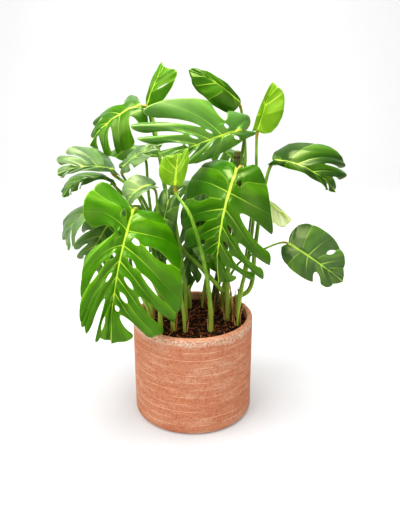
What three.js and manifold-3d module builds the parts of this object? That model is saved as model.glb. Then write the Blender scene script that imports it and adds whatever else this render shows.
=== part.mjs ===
// A monstera in a straight-sided terracotta pot. Millimetres, +Z up.
// The origin is the middle of the pot's foot, and the front of the plant faces -Y.
// Each frond is one solid: a stalk that stands in its own hole in the soil, and the blade at its top.
import * as THREE from "three";
import { mergeVertices } from "three/addons/utils/BufferGeometryUtils.js";
import Module from "manifold-3d";

const wasm = await Module();
wasm.setup();

// Pot
const POT_RADIUS = 120;
const POT_HEIGHT = 205;
const POT_WALL = 11;
const POT_FLOOR = 12;
const POT_SIDES = 48;
const FOOT_ROUNDING = 9;
const RIM_ROUNDING = 5;

// Soil
const SOIL_TOP = 190;
const GAP = 0.3;
const ROOT_DEPTH = 26;
const HOLE_ROOM = 0.8;
const HOLE_SIDES = 8;
const HOLE_ABOVE = 40; // how far the tool that makes a hole reaches over the soil
const SOIL_RINGS = 3;
const MOUND_HEIGHT = 3;
const HUMP_HEIGHT = 1.6;
const FOLD_HEIGHT = 1.1;

// Blades and stalks
const BLADE_THICKNESS = 1.2;
const STALK_SIDES = 6;
const STALK_STEP = 48;
const UPRIGHT = 20; // length of a stalk that stands straight above the soil
const STALK_THINNING = 0.5;
const THINNING_CURVE = 0.7; // under 1: a stalk thins mostly near the soil
const KNEE_BEHIND = 12; // how far behind and under the blade's base the stalk comes in
const KNEE_UNDER = 9;
const STALK_END = 9; // how far the stalk's end runs on inside the midrib
const STALK_SINK = 0.18; // how deep that end lies, in shares of the stalk's radius
const MERGE = 0.01; // points closer together than this are one point

const COLOURS = {
  terracotta: "#c97c58",
  soil: "#2b1c14",
  leaf: "#4f9a14",
  youngLeaf: "#93bd2c",
  oldLeaf: "#2b5f2a",
  cane: "#6b6a48",
  husk: "#b57a45",
};

const rad = THREE.MathUtils.degToRad;
const clamp = THREE.MathUtils.clamp;
const vec = (p) => new THREE.Vector3(...p);

// Half of a blade's outline, in shares of its length: across, along.
// It starts in the notch at the stalk, goes round the basal lobe and ends at the tip.
const HALF_OUTLINE = [
  [0.012, -0.03],
  [0.1, -0.2],
  [0.28, -0.27],
  [0.44, -0.19],
  [0.53, 0.02],
  [0.54, 0.32],
  [0.46, 0.61],
  [0.34, 0.8],
  [0.16, 0.94],
  [0, 1.04],
];
const OUTLINE_END = HALF_OUTLINE.length - 1;
const TIP = HALF_OUTLINE[OUTLINE_END][1];
const LAST_CUT = 7.75; // where on the outline the cut beside the tip lobe opens
const LAST_VEIN = 0.7; // where on the midrib that cut starts
const FIRST_LOBE = 0.55; // the smaller, the larger are the lobes beside the stalk
const VEIN_PLACE = 0.56; // where a lobe's vein ends, from its near cut to its far cut
const VEIN_BOW = 0.08; // how far a vein bows towards the stalk
const LOBE_REACH = 1.02; // how far a lobe stands out past the outline
const TIP_REACH = 1.01;
const REACH_SPREAD = 0.06;
const SPLIT_SPREAD = 0.14;
const SAG_LEAST = 0.3;
const SAG_SPREAD = 1.4;
const SAG_CURVE = 1.5;

// Rows of a blade's grid, from the midrib (0) to the edge (1)
const SPLIT_AT = 0.5; // the cuts start here
const HOLE_FROM = 0.16;
const HOLE_TO = 0.38;
const SLOT_END = 0.82;
const EDGE_AT = 0.99; // past this row the open corners of a lobe are cut back
const CORNER = 0.07;

// Openings, in shares of a blade's length or of its open cuts
const HOLE_OPENING = 0.022;
const SLOT_OPENING = 0.45;
const OPENING_CURVE = 2.5;

// How a blade's sweep and flare act along the midrib
const SWEEP_FROM = -0.3;
const SWEEP_OVER = 0.6;
const SWEEP_LINE = 1.2;
const SWEEP_CURVE = 1.6;
const FLARE_TO = 0.15;
const FLARE_OVER = 0.4;

// A repeatable number from 0 to 1 for one lobe of one blade.
function chance(seed, lobe, side) {
  const x = Math.sin(seed * 12.9898 + lobe * 78.233 + side * 37.719) * 43758.5453;
  return x - Math.floor(x);
}

// A smooth curve through b and c, with a before them and d after them.
function smooth(a, b, c, d, t) {
  const square = 2 * a - 5 * b + 4 * c - d;
  const cube = 3 * (b - c) + d - a;
  return b + 0.5 * t * (c - a + t * (square + t * cube));
}

function outlineAt(u) {
  const i = Math.min(Math.floor(u), OUTLINE_END - 1);
  const at = (k) => HALF_OUTLINE[clamp(k, 0, OUTLINE_END)];
  const near = [at(i - 1), at(i), at(i + 1), at(i + 2)];
  return [0, 1].map((n) => smooth(...near.map((p) => p[n]), u - i));
}

// Where on the outline a cut opens.
const cutPlace = (frond, k) => LAST_CUT * (k / frond.lobes) ** FIRST_LOBE;

const mix = (a, b, t) => [a[0] + (b[0] - a[0]) * t, a[1] + (b[1] - a[1]) * t];

// How far along a vein or a cut a row of the grid is. Split is where the cut starts.
function shareAt(row, split) {
  if (row < SPLIT_AT) return (row * split) / SPLIT_AT;
  return split + ((row - SPLIT_AT) * (1 - split)) / (1 - SPLIT_AT);
}

// A vein or a cut runs from the midrib to the outline, bowed towards the stalk.
function ribPoint(from, to, s) {
  const dx = to[0] - from[0];
  const dy = to[1] - from[1];
  const bow = VEIN_BOW * s * (1 - s);
  return [from[0] + dx * s + dy * bow, from[1] + dy * s - dx * bow];
}

// The blade's own frame: the midrib is an arc from base to tip, and face is the side that the light falls on.
function bladeFrame(frond) {
  const base = vec(frond.base);
  const chord = vec(frond.tip).sub(base);
  const along = chord.clone().normalize();
  const face = vec(frond.face);
  face.addScaledVector(along, -face.dot(along)).normalize();
  const half = rad(frond.bend) / 2;
  const start = along.clone().multiplyScalar(Math.cos(half)).addScaledVector(face, Math.sin(half));
  const up = face.clone().multiplyScalar(Math.cos(half)).addScaledVector(along, -Math.sin(half));
  const right = new THREE.Vector3().crossVectors(up, start);
  return { base, start, up, right, length: (chord.length() * half) / Math.sin(half) };
}

// A point of the flat blade, in shares of its length, bent into place.
function bend(frond, frame, [flatX, along], drop) {
  const side = flatX < 0 ? 0 : 1;
  const size = frame.length;
  const beside = clamp((FLARE_TO - along) / FLARE_OVER, 0, 1);
  const x = Math.abs(flatX) * (1 + frond.flare[side] * beside);
  const beyond = clamp((along - SWEEP_FROM) / SWEEP_OVER, 0, 1);
  const lean = frond.sweep[side] * (SWEEP_LINE * x + SWEEP_CURVE * x * x);
  const y = (along < 0 ? along * frond.heart : along) + lean * beyond;
  const turn = rad(frond.bend) * y;
  const curl = rad(frond.bend) / size;
  const forward = Math.sin(turn) / curl;
  const down = (1 - Math.cos(turn)) / curl;
  const width = size * frond.width[side];
  const fold = rad(frond.fold[side]);
  const droop = rad(frond.droop[side]) / (0.5 * width);
  const out = x * width;
  const across = (Math.sin(fold) - Math.sin(fold - droop * out)) / droop;
  const rise = (Math.cos(fold - droop * out) - Math.cos(fold)) / droop - drop * size;
  const normal = frame.up.clone().multiplyScalar(Math.cos(turn));
  normal.addScaledVector(frame.start, Math.sin(turn));
  return frame.base
    .clone()
    .addScaledVector(frame.start, forward)
    .addScaledVector(frame.up, -down)
    .addScaledVector(frame.right, side ? across : -across)
    .addScaledVector(normal, rise);
}

// One cut, between two neighbouring lobes: where it leaves the midrib, where it ends, and how it opens.
function cutOf(frond, k, side) {
  const deep = frond.split + SPLIT_SPREAD * (chance(frond.seed, k, side) - 0.5);
  return {
    from: [0, (LAST_VEIN * k) / frond.lobes],
    to: outlineAt(cutPlace(frond, k)),
    split: k === 0 ? 0 : deep,
    closed: frond.joined[side].includes(k),
    slot: frond.slots[side].includes(k),
    hole: k > 0 && frond.holes > chance(frond.seed + 9, k, side),
  };
}

// Half the opening of a cut at a grid row, in shares of the blade's length.
function opening(frond, cut, row) {
  if (row > SPLIT_AT && cut.closed) {
    if (!cut.slot || row >= SLOT_END) return 0;
    const along = (row - SPLIT_AT) / (SLOT_END - SPLIT_AT);
    return SLOT_OPENING * frond.gap * Math.sin(Math.PI * along);
  }
  if (row > SPLIT_AT) return frond.gap * (1 - ((1 - row) / (1 - SPLIT_AT)) ** OPENING_CURVE);
  if (!cut.hole || row <= HOLE_FROM || row >= HOLE_TO) return 0;
  return HOLE_OPENING * Math.sin((Math.PI * (row - HOLE_FROM)) / (HOLE_TO - HOLE_FROM));
}

// A point on one edge of a lobe, which is one side of a cut.
function edgePoint(frond, cut, row, away) {
  const p = ribPoint(cut.from, cut.to, shareAt(row, cut.split));
  const dx = cut.to[0] - cut.from[0];
  const dy = cut.to[1] - cut.from[1];
  const open = (away * opening(frond, cut, row)) / Math.hypot(dx, dy);
  return [p[0] - dy * open, p[1] + dx * open];
}

// The vein down the middle of a lobe.
function veinOf(frond, near, far, k, side) {
  const nearPlace = cutPlace(frond, k);
  const farPlace = far ? cutPlace(frond, k + 1) : OUTLINE_END;
  const reach = LOBE_REACH + REACH_SPREAD * (chance(frond.seed + 2, k, side) - 0.5);
  const end = outlineAt(nearPlace + (farPlace - nearPlace) * VEIN_PLACE);
  return {
    from: far ? mix(near.from, far.from, 0.5) : near.from,
    to: end.map((c) => c * (far ? reach : TIP_REACH)),
    split: far ? (near.split + far.split) / 2 : near.split,
  };
}

// One point of a lobe: a row from the midrib outwards, and t from its near cut (-1) to its far one (1).
function lobePoint(frond, { k, near, far, vein }, row, t) {
  const back = row > EDGE_AT ? CORNER : 0;
  const nearRow = near.closed || k === 0 ? row : row - back;
  const farRow = !far || far.closed ? row : row - back;
  const v = ribPoint(vein.from, vein.to, shareAt(row, vein.split));
  if (t < 0) {
    const a = k === 0 ? ribPoint(near.from, near.to, row) : edgePoint(frond, near, nearRow, 1);
    return mix(v, a, -t);
  }
  const b = far ? edgePoint(frond, far, farRow, -1) : [0, near.from[1] + (TIP - near.from[1]) * row];
  return mix(v, b, t);
}

// The grid of one lobe, bent into place.
function lobeGrid(frond, frame, k, side, rows, columns) {
  const near = cutOf(frond, k, side);
  const far = k === frond.lobes ? null : cutOf(frond, k + 1, side);
  const lobe = { k, near, far, vein: veinOf(frond, near, far, k, side) };
  const sag = frond.sag * (SAG_LEAST + SAG_SPREAD * chance(frond.seed + 7, k, side));
  return rows.map((row) =>
    columns.map((t) => {
      const [x, y] = lobePoint(frond, lobe, row, t);
      const past = Math.max(0, (row - SPLIT_AT) / (1 - SPLIT_AT));
      const free = far ? 1 : 1 - Math.max(0, t);
      const held = (near.closed && t < 0) || (far?.closed && t > 0) ? 1 - Math.abs(t) : 1;
      return bend(frond, frame, [side ? x : -x, y], sag * past ** SAG_CURVE * free * held);
    }),
  );
}

// Two triangles for each cell of a grid, facing the upper side of the blade.
function gridTriangles(grid, turned) {
  const triangles = [];
  for (let i = 0; i < grid.length - 1; i++) {
    for (let j = 0; j < grid[i].length - 1; j++) {
      const quad = [grid[i][j], grid[i + 1][j], grid[i + 1][j + 1], grid[i][j + 1]];
      if (turned) quad.reverse();
      triangles.push([quad[0], quad[1], quad[2]], [quad[0], quad[2], quad[3]]);
    }
  }
  return triangles;
}

const isOpen = ([a, b, c]) =>
  a.distanceTo(b) > MERGE && b.distanceTo(c) > MERGE && c.distanceTo(a) > MERGE;

// Every lobe of both halves as one surface.
function bladeSurface(frond, frame) {
  const inner = frond.holes ? [0, HOLE_FROM, (HOLE_FROM + HOLE_TO) / 2, HOLE_TO] : [0];
  const outer = frond.slots.flat().length ? [(SPLIT_AT + SLOT_END) / 2, SLOT_END] : [(SPLIT_AT + 1) / 2];
  const rows = [...inner, SPLIT_AT, ...outer, 1];
  const triangles = [];
  for (const side of [0, 1]) {
    for (let k = 0; k <= frond.lobes; k++) {
      triangles.push(...gridTriangles(lobeGrid(frond, frame, k, side, rows, [-1, 0, 1]), side === 1));
    }
  }
  const flat = triangles.filter(isOpen).flat().flatMap((p) => p.toArray());
  const soup = new THREE.BufferGeometry();
  soup.setAttribute("position", new THREE.Float32BufferAttribute(flat, 3));
  return mergeVertices(soup, MERGE);
}

// Gives a surface its thickness: half of it to each side, joined all along the open edges.
function thicken(surface, thickness) {
  surface.computeVertexNormals();
  const { position, normal } = surface.attributes;
  const n = position.count;
  const points = [];
  for (const half of [thickness / 2, -thickness / 2]) {
    for (let i = 0; i < n; i++) {
      points.push(position.getX(i) + half * normal.getX(i));
      points.push(position.getY(i) + half * normal.getY(i));
      points.push(position.getZ(i) + half * normal.getZ(i));
    }
  }
  const top = [...surface.index.array];
  const faces = [...top];
  const edges = [];
  for (let i = 0; i < top.length; i += 3) {
    const [a, b, c] = top.slice(i, i + 3);
    faces.push(a + n, c + n, b + n);
    edges.push([a, b], [b, c], [c, a]);
  }
  const used = new Set(edges.map(([p, q]) => `${p}_${q}`));
  for (const [p, q] of edges) {
    if (!used.has(`${q}_${p}`)) faces.push(p, p + n, q + n, p, q + n, q);
  }
  return { points, faces };
}

function solidFrom({ points, faces }) {
  return new wasm.Manifold(
    new wasm.Mesh({ numProp: 3, vertProperties: new Float32Array(points), triVerts: new Uint32Array(faces) }),
  );
}

// A round bar along a curve, thinner towards its far end.
function taperedBar(curve, radius, thinning, sides, steps) {
  const section = new THREE.Shape().absarc(0, 0, radius, 0, 2 * Math.PI);
  const options = { steps, extrudePath: curve, bevelEnabled: false, curveSegments: sides };
  const geometry = new THREE.ExtrudeGeometry(section, options);
  const centres = curve.getSpacedPoints(steps);
  const { position } = geometry.attributes;
  const point = new THREE.Vector3();
  for (let i = 0; i < position.count; i++) {
    point.fromBufferAttribute(position, i);
    const distances = centres.map((centre) => centre.distanceTo(point));
    const ring = distances.indexOf(Math.min(...distances));
    point.lerp(centres[ring], thinning * (ring / steps) ** THINNING_CURVE);
    position.setXYZ(i, point.x, point.y, point.z);
  }
  return solidOf(geometry);
}

// The line that a stalk or a cane follows: straight up out of the soil, then through its points.
function risingCurve([x, y], points) {
  const ground = [vec([x, y, SOIL_TOP - ROOT_DEPTH]), vec([x, y, SOIL_TOP + UPRIGHT])];
  return new THREE.CatmullRomCurve3([...ground, ...points], false, "centripetal");
}

function stemSolid(root, points, stout, thinning) {
  const curve = risingCurve(root, points);
  const steps = Math.ceil(curve.getLength() / STALK_STEP);
  return taperedBar(curve, stout, thinning, STALK_SIDES, steps);
}

function frondSolid(frond) {
  const frame = bladeFrame(frond);
  const { base, start, up } = frame;
  const blade = solidFrom(thicken(bladeSurface(frond, frame), BLADE_THICKNESS));
  const under = base.clone().addScaledVector(start, -KNEE_BEHIND).addScaledVector(up, -KNEE_UNDER);
  const inside = base.clone().addScaledVector(start, STALK_END);
  inside.addScaledVector(up, -STALK_SINK * frond.stout);
  const points = [...frond.via.map(vec), under, inside];
  return blade.add(stemSolid(frond.root, points, frond.stout, STALK_THINNING));
}

function geometryOf(solid) {
  const mesh = solid.getMesh();
  return new THREE.BufferGeometry()
    .setAttribute("position", new THREE.BufferAttribute(new Float32Array(mesh.vertProperties), 3))
    .setIndex(new THREE.BufferAttribute(new Uint32Array(mesh.triVerts), 1));
}

function solidOf(geometry) {
  geometry.deleteAttribute("normal");
  geometry.deleteAttribute("uv");
  const merged = mergeVertices(geometry, MERGE / 10);
  return solidFrom({ points: merged.attributes.position.array, faces: merged.index.array });
}

const arc = (x, z, r, from, to, steps) =>
  Array.from({ length: steps + 1 }, (_, i) => {
    const a = rad(from + ((to - from) * i) / steps);
    return new THREE.Vector2(x + r * Math.cos(a), z + r * Math.sin(a));
  });

function potGeometry() {
  const inner = POT_RADIUS - POT_WALL;
  const profile = [
    new THREE.Vector2(0, 0),
    ...arc(POT_RADIUS - FOOT_ROUNDING, FOOT_ROUNDING, FOOT_ROUNDING, -90, 0, 3),
    ...arc(POT_RADIUS - RIM_ROUNDING, POT_HEIGHT - RIM_ROUNDING, RIM_ROUNDING, 0, 90, 2),
    new THREE.Vector2(inner, POT_HEIGHT),
    new THREE.Vector2(inner, POT_FLOOR),
    new THREE.Vector2(0, POT_FLOOR),
  ];
  return new THREE.LatheGeometry(profile, POT_SIDES).rotateX(Math.PI / 2);
}

// Height of the soil's top at a point: a low mound, with lumps that die out at the pot's wall.
function soilHeight(x, y) {
  const far = Math.hypot(x, y) / (POT_RADIUS - POT_WALL);
  const humps = HUMP_HEIGHT * Math.sin(x * 0.13 + 1.1) * Math.cos(y * 0.11);
  const folds = FOLD_HEIGHT * Math.sin(x * 0.07 - y * 0.19);
  return SOIL_TOP - MOUND_HEIGHT * far * far + (humps + folds) * (1 - far ** 4);
}

// The soil with a hole for every stalk and cane that stands in it.
function soilSolid(stakes) {
  const edge = POT_RADIUS - POT_WALL - GAP;
  const bottom = POT_FLOOR + GAP;
  const profile = [
    new THREE.Vector2(0, bottom),
    new THREE.Vector2(edge, bottom),
  ];
  for (let ring = SOIL_RINGS; ring >= 0; ring--) {
    profile.push(new THREE.Vector2((edge * ring) / SOIL_RINGS, SOIL_TOP));
  }
  const geometry = new THREE.LatheGeometry(profile, POT_SIDES / 2).rotateX(Math.PI / 2);
  const p = geometry.attributes.position;
  for (let i = 0; i < p.count; i++) {
    if (p.getZ(i) > SOIL_TOP - 1) p.setZ(i, soilHeight(p.getX(i), p.getY(i)));
  }
  const holes = stakes.map(({ root: [x, y], stout }) => {
    const deep = ROOT_DEPTH + HOLE_ABOVE;
    const radius = stout + HOLE_ROOM;
    const hole = new THREE.CylinderGeometry(radius, radius, deep, HOLE_SIDES)
      .rotateX(Math.PI / 2)
      .translate(x, y, SOIL_TOP - ROOT_DEPTH - GAP + deep / 2);
    return solidOf(hole);
  });
  return solidOf(geometry).subtract(wasm.Manifold.union(holes));
}

// base and tip are the ends of the midrib, and face is the side that the light falls on.
// root is where the stalk stands, via the points that it passes, and stout its radius at the soil.
// A pair is for the left half and the right half of the blade, seen from its face with the tip up.
// bend: how far the midrib bends. fold: how far a half stands up. droop: how far its edge comes down.
// sweep: how far the veins lean towards the tip. flare: how much wider the blade is beside the stalk.
// heart: how far the lobes beside the stalk reach back. sag: how far the ends of the lobes hang.
// lobes: cuts in each half. joined: the cuts that stay closed at the edge. slots: those open further in.
// split: where the cuts start. gap: half their opening. holes: the share of them with a hole beside it.
const FRONDS = [
  {
    name: "front_left",
    base: [-104, -75, 437],
    tip: [-140, -166, 232],
    face: [-0.16, -0.8, 0.45],
    root: [-62, -51],
    via: [[-64, -58, 299], [-81, -55, 392]],
    stout: 5.5,
    width: [0.51, 1],
    bend: 53,
    fold: [44, -25],
    droop: [3, 27],
    lobes: 6,
    split: 0.36,
    gap: 0.06,
    joined: [[1, 3, 4, 6], [1, 2, 3, 5]],
    holes: 0.7,
    sag: 0.05,
    seed: 1,
    heart: 0.4,
    sweep: [0.28, 0.42],
    flare: [0.81, -0.4],
    slots: [[3, 6], [2, 3]],
  },
  {
    name: "front_middle",
    base: [80, -54, 506],
    tip: [48, -79, 309],
    face: [-0.43, -0.85, 0.63],
    root: [70, 5],
    via: [[69, -10, 291], [85, -18, 434]],
    stout: 5.5,
    width: [1.01, 0.91],
    bend: 56,
    fold: [-12, -24],
    droop: [13, 42],
    lobes: 5,
    split: 0.36,
    gap: 0.07,
    joined: [[1, 2, 3, 4, 5], [1]],
    holes: 0.3,
    sag: 0.05,
    seed: 2,
    heart: 0.54,
    sweep: [0.12, 0.53],
    flare: [0.03, -0.5],
    slots: [[2, 3, 4, 5], []],
  },
  {
    name: "top_middle",
    base: [90, 38, 563],
    tip: [-40, -25, 523],
    face: [-0.08, -0.8, 0.73],
    root: [44, 70],
    via: [[66, 62, 350], [93, 50, 500]],
    stout: 5.9,
    width: [1.19, 0.31],
    bend: 19,
    fold: [29, -12],
    droop: [8, 20],
    lobes: 4,
    split: 0.3,
    gap: 0.05,
    joined: [[], [1, 2]],
    holes: 0.95,
    sag: 0.05,
    seed: 3,
    heart: 0.99,
    sweep: [0.65, 0.33],
    flare: [-0.48, -0.49],
    slots: [[], [1, 2]],
  },
  {
    name: "top_left",
    base: [-100, 86, 607],
    tip: [-200, 78, 535],
    face: [-0.69, -0.75, 1.36],
    root: [80, 29],
    via: [[50, 0, 264], [14, 0, 306], [-25, 5, 348], [-53, 32, 451], [-73, 80, 560]],
    stout: 5.5,
    width: [1, 0.96],
    bend: 43,
    fold: [8, -1],
    droop: [11, 59],
    lobes: 3,
    split: 0.33,
    gap: 0.07,
    joined: [[], []],
    holes: 0,
    sag: 0.07,
    seed: 4,
    heart: 0.16,
    sweep: [0.33, 0.27],
    flare: [0.43, -0.5],
    slots: [[], []],
  },
  {
    name: "top_small",
    base: [-92, 128, 602],
    tip: [-58, 123, 675],
    face: [-0.56, -0.9, 0.66],
    root: [-8, 58],
    via: [[-35, 74, 315], [-59, 104, 456]],
    stout: 4.8,
    width: [0.83, 0.46],
    bend: 24,
    fold: [4, 0],
    droop: [34, 25],
    lobes: 2,
    split: 0.3,
    gap: 0.06,
    joined: [[1, 2], [1, 2]],
    holes: 0,
    sag: 0.03,
    seed: 5,
    heart: 0.21,
    sweep: [0.51, 0.47],
    flare: [-0.5, -0.44],
    slots: [[1], [1]],
  },
  {
    name: "top_curled",
    base: [94, 114, 609],
    tip: [-3, 114, 671],
    face: [-0.21, -0.75, 0.84],
    root: [62, 76],
    via: [[88, 84, 350], [106, 98, 500]],
    stout: 4.8,
    width: [0.18, 0.57],
    bend: 42,
    fold: [12, -6],
    droop: [12, 43],
    lobes: 2,
    split: 1,
    gap: 0.01,
    joined: [[1, 2], [1, 2]],
    holes: 0,
    sag: 0.03,
    seed: 6,
    heart: 0.1,
    sweep: [0.16, 0.08],
    flare: [-0.39, -0.39],
    slots: [[], []],
  },
  {
    name: "young_cupped",
    base: [120, 4, 569],
    tip: [142, 0, 650],
    face: [-0.12, -0.85, 0.45],
    root: [90, 18],
    via: [[111, 26, 310], [121, 16, 455]],
    stout: 4.8,
    width: [0.85, 0.2],
    bend: 6,
    fold: [39, 20],
    droop: [39, 23],
    lobes: 2,
    split: 1,
    gap: 0.01,
    joined: [[1, 2], [1, 2]],
    holes: 0,
    sag: 0.0,
    seed: 7,
    heart: 0.11,
    sweep: [0.19, -0.11],
    flare: [-0.49, 0.03],
    slots: [[], []],
  },
  {
    name: "right_high",
    base: [156, 22, 509],
    tip: [263, -17, 462],
    face: [0.08, -0.75, 0.76],
    root: [82, 52],
    via: [[116, 45, 237], [125, 34, 334], [136, 25, 443]],
    stout: 5.8,
    width: [0.16, 1.14],
    bend: 72,
    fold: [26, 5],
    droop: [23, 20],
    lobes: 3,
    split: 0.42,
    gap: 0.045,
    joined: [[1, 2], [1]],
    holes: 0,
    sag: 0.05,
    seed: 8,
    heart: 0.51,
    sweep: [0.18, 0.5],
    flare: [-0.35, -0.46],
    slots: [[], []],
  },
  {
    name: "right_low",
    base: [184, -20, 358],
    tip: [281, -50, 296],
    face: [0.12, -0.85, 0.34],
    root: [62, 42],
    via: [[64, 32, 238], [90, 10, 307], [134, -8, 342]],
    stout: 3.4,
    width: [0.59, 0.91],
    bend: 33,
    fold: [-3, 6],
    droop: [22, 13],
    lobes: 3,
    split: 0.5,
    gap: 0.085,
    joined: [[1, 3], [1, 2, 3]],
    holes: 0,
    sag: 0.02,
    seed: 9,
    heart: 0.29,
    sweep: [0.11, 0.07],
    flare: [-0.46, -0.2],
    slots: [[], [2]],
  },
  {
    name: "left_high",
    base: [-149, 20, 491],
    tip: [-237, -40, 498],
    face: [0.1, -0.6, 0.71],
    root: [-38, -52],
    via: [[-43, -34, 269], [-67, 2, 359], [-100, 14, 445]],
    stout: 5.3,
    width: [0.94, 0.16],
    bend: 55,
    fold: [9, 25],
    droop: [20, 16],
    lobes: 3,
    split: 0.4,
    gap: 0.03,
    joined: [[1], [1, 2]],
    holes: 0,
    sag: 0.05,
    seed: 10,
    heart: 0.61,
    sweep: [0.2, 0.35],
    flare: [-0, -0.03],
    slots: [[], []],
  },
  {
    name: "left_under",
    base: [-156, 52, 465],
    tip: [-243, 3, 448],
    face: [-0.57, -0.5, 1.35],
    root: [-62, 28],
    via: [[-91, 36, 285], [-129, 58, 425]],
    stout: 4.6,
    width: [0.99, 0.18],
    bend: 79,
    fold: [6, 20],
    droop: [17, 17],
    lobes: 3,
    split: 0.45,
    gap: 0.035,
    joined: [[1], [1]],
    holes: 0,
    sag: 0.05,
    seed: 11,
    heart: 0.26,
    sweep: [0.33, 0.14],
    flare: [-0.11, 0.1],
    slots: [[], []],
  },
  {
    name: "left_strap",
    base: [-133, 34, 496],
    tip: [-60, 43, 540],
    face: [-0.28, -0.75, 0.81],
    root: [-45, 5],
    via: [[-65, 25, 331], [-108, 34, 441]],
    stout: 4.3,
    width: [0.49, 0.5],
    bend: 30,
    fold: [16, 3],
    droop: [12, 28],
    lobes: 3,
    split: 0.4,
    gap: 0.04,
    joined: [[], []],
    holes: 0,
    sag: 0.03,
    seed: 22,
    heart: 0.4,
    sweep: [0.12, 0.09],
    flare: [-0.29, -0.16],
    slots: [[], []],
  },
  {
    name: "left_inner",
    base: [-78, -18, 470],
    tip: [-117, -36, 446],
    face: [-0.3, -0.65, 1.32],
    root: [-16, -50],
    via: [[-34, -44, 330], [-64, -20, 415]],
    stout: 4.1,
    width: [1.24, 0.7],
    bend: 63,
    fold: [23, 22],
    droop: [7, 18],
    lobes: 2,
    split: 0.55,
    gap: 0.02,
    joined: [[1, 2], [1, 2]],
    holes: 0,
    sag: 0.04,
    seed: 12,
    heart: 1.26,
    sweep: [0.1, 0.4],
    flare: [-0.43, -0.48],
    slots: [[], []],
  },
  {
    name: "left_far",
    base: [-173, -5, 425],
    tip: [-233, -45, 366],
    face: [-0.71, -0.6, 1.3],
    root: [-84, -24],
    via: [[-114, -18, 284], [-147, 0, 380]],
    stout: 4.3,
    width: [0.97, 0.77],
    bend: 87,
    fold: [2, 28],
    droop: [8, 18],
    lobes: 3,
    split: 0.45,
    gap: 0.03,
    joined: [[1], [1]],
    holes: 0,
    sag: 0.05,
    seed: 13,
    heart: 0.11,
    sweep: [0.3, 0.4],
    flare: [-0.43, -0.13],
    slots: [[], []],
  },
  {
    name: "left_low",
    base: [-147, 40, 407],
    tip: [-214, 22, 294],
    face: [-0.3, -0.8, 0.45],
    root: [-84, 10],
    via: [[-116, 26, 256], [-134, 50, 376]],
    stout: 4.3,
    width: [0.8, 0.8],
    bend: 35,
    fold: [8, 8],
    droop: [24, 24],
    lobes: 4,
    split: 0.42,
    gap: 0.03,
    joined: [[1], [1]],
    holes: 0,
    sag: 0.05,
    seed: 14,
    heart: 1,
    sweep: [0.25, 0.25],
    flare: [0, 0],
    slots: [[], []],
  },
  {
    name: "middle_shaded",
    base: [-46, 2, 433],
    tip: [-66, -24, 319],
    face: [-0.2, -0.85, 0.45],
    root: [-14, -4],
    via: [[-15, -10, 270], [-31, -10, 393]],
    stout: 4.6,
    width: [0.4, 0.36],
    bend: 35,
    fold: [8, 8],
    droop: [24, 24],
    lobes: 4,
    split: 0.45,
    gap: 0.03,
    joined: [[1], [1]],
    holes: 0,
    sag: 0.05,
    seed: 15,
    heart: 1,
    sweep: [0.2, 0.2],
    flare: [0, 0],
    slots: [[], []],
  },
  {
    name: "young_pale",
    base: [-29, -68, 482],
    tip: [-24, -59, 532],
    face: [-0.03, -0.9, 0.58],
    root: [36, -46],
    via: [[34, -56, 247], [22, -88, 344], [-3, -98, 436]],
    stout: 5.5,
    width: [0.74, 1.12],
    bend: 8,
    fold: [26, 24],
    droop: [21, 25],
    lobes: 2,
    split: 0.75,
    gap: 0.012,
    joined: [[1], [1]],
    holes: 0,
    sag: 0.02,
    seed: 16,
    heart: 0.11,
    sweep: [0.63, 0.23],
    flare: [-0.31, -0.46],
    slots: [[], []],
  },
  {
    name: "right_underside",
    base: [132, -12, 444],
    tip: [181, -25, 405],
    face: [0.3, 0.9, 0.41],
    root: [90, -22],
    via: [[96, -28, 267], [105, -28, 368]],
    stout: 3.4,
    width: [0.22, 0.73],
    bend: 24,
    fold: [4, 1],
    droop: [13, 38],
    lobes: 2,
    split: 1,
    gap: 0.01,
    joined: [[1, 2], [1, 2]],
    holes: 0,
    sag: 0.0,
    seed: 17,
    heart: 0.11,
    sweep: [0.39, 0.29],
    flare: [-0.3, -0.48],
    slots: [[], []],
  },
  {
    name: "middle_low",
    base: [28, 32, 421],
    tip: [-12, 22, 260],
    face: [-0.25, -0.85, 0.4],
    root: [36, 26],
    via: [[31, 34, 253], [37, 48, 366]],
    stout: 4.8,
    width: [0.4, 0.4],
    bend: 35,
    fold: [8, 8],
    droop: [24, 24],
    lobes: 4,
    split: 0.45,
    gap: 0.03,
    joined: [[1], [1]],
    holes: 0,
    sag: 0.05,
    seed: 18,
    heart: 1,
    sweep: [0.2, 0.2],
    flare: [0, 0],
    slots: [[], []],
  },
  {
    name: "back_left",
    base: [-106, 134, 509],
    tip: [-170, 205, 498],
    face: [-0.5, 0.45, 0.75],
    root: [-52, 62],
    via: [[-71, 86, 266], [-94, 122, 431]],
    stout: 5.0,
    width: [1, 1],
    bend: 42,
    fold: [8, 8],
    droop: [26, 26],
    lobes: 3,
    split: 0.4,
    gap: 0.035,
    joined: [[1], [1]],
    holes: 0,
    sag: 0.05,
    seed: 19,
    heart: 1,
    sweep: [0.2, 0.2],
    flare: [0, 0],
    slots: [[], []],
  },
  {
    name: "back_right",
    base: [43, 124, 519],
    tip: [94, 200, 470],
    face: [0.35, 0.55, 0.75],
    root: [22, 66],
    via: [[39, 75, 315], [60, 108, 455]],
    stout: 5.0,
    width: [0.8, 0.8],
    bend: 45,
    fold: [8, 8],
    droop: [26, 26],
    lobes: 3,
    split: 0.4,
    gap: 0.035,
    joined: [[1], [1]],
    holes: 0,
    sag: 0.05,
    seed: 20,
    heart: 1,
    sweep: [0.2, 0.2],
    flare: [0, 0],
    slots: [[], []],
  },
  {
    name: "back_middle",
    base: [6, 118, 449],
    tip: [-17, 200, 387],
    face: [-0.05, 0.7, 0.7],
    root: [-14, 84],
    via: [[6, 85, 266], [0, 105, 393]],
    stout: 5.0,
    width: [0.8, 0.8],
    bend: 50,
    fold: [8, 8],
    droop: [26, 26],
    lobes: 3,
    split: 0.4,
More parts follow.
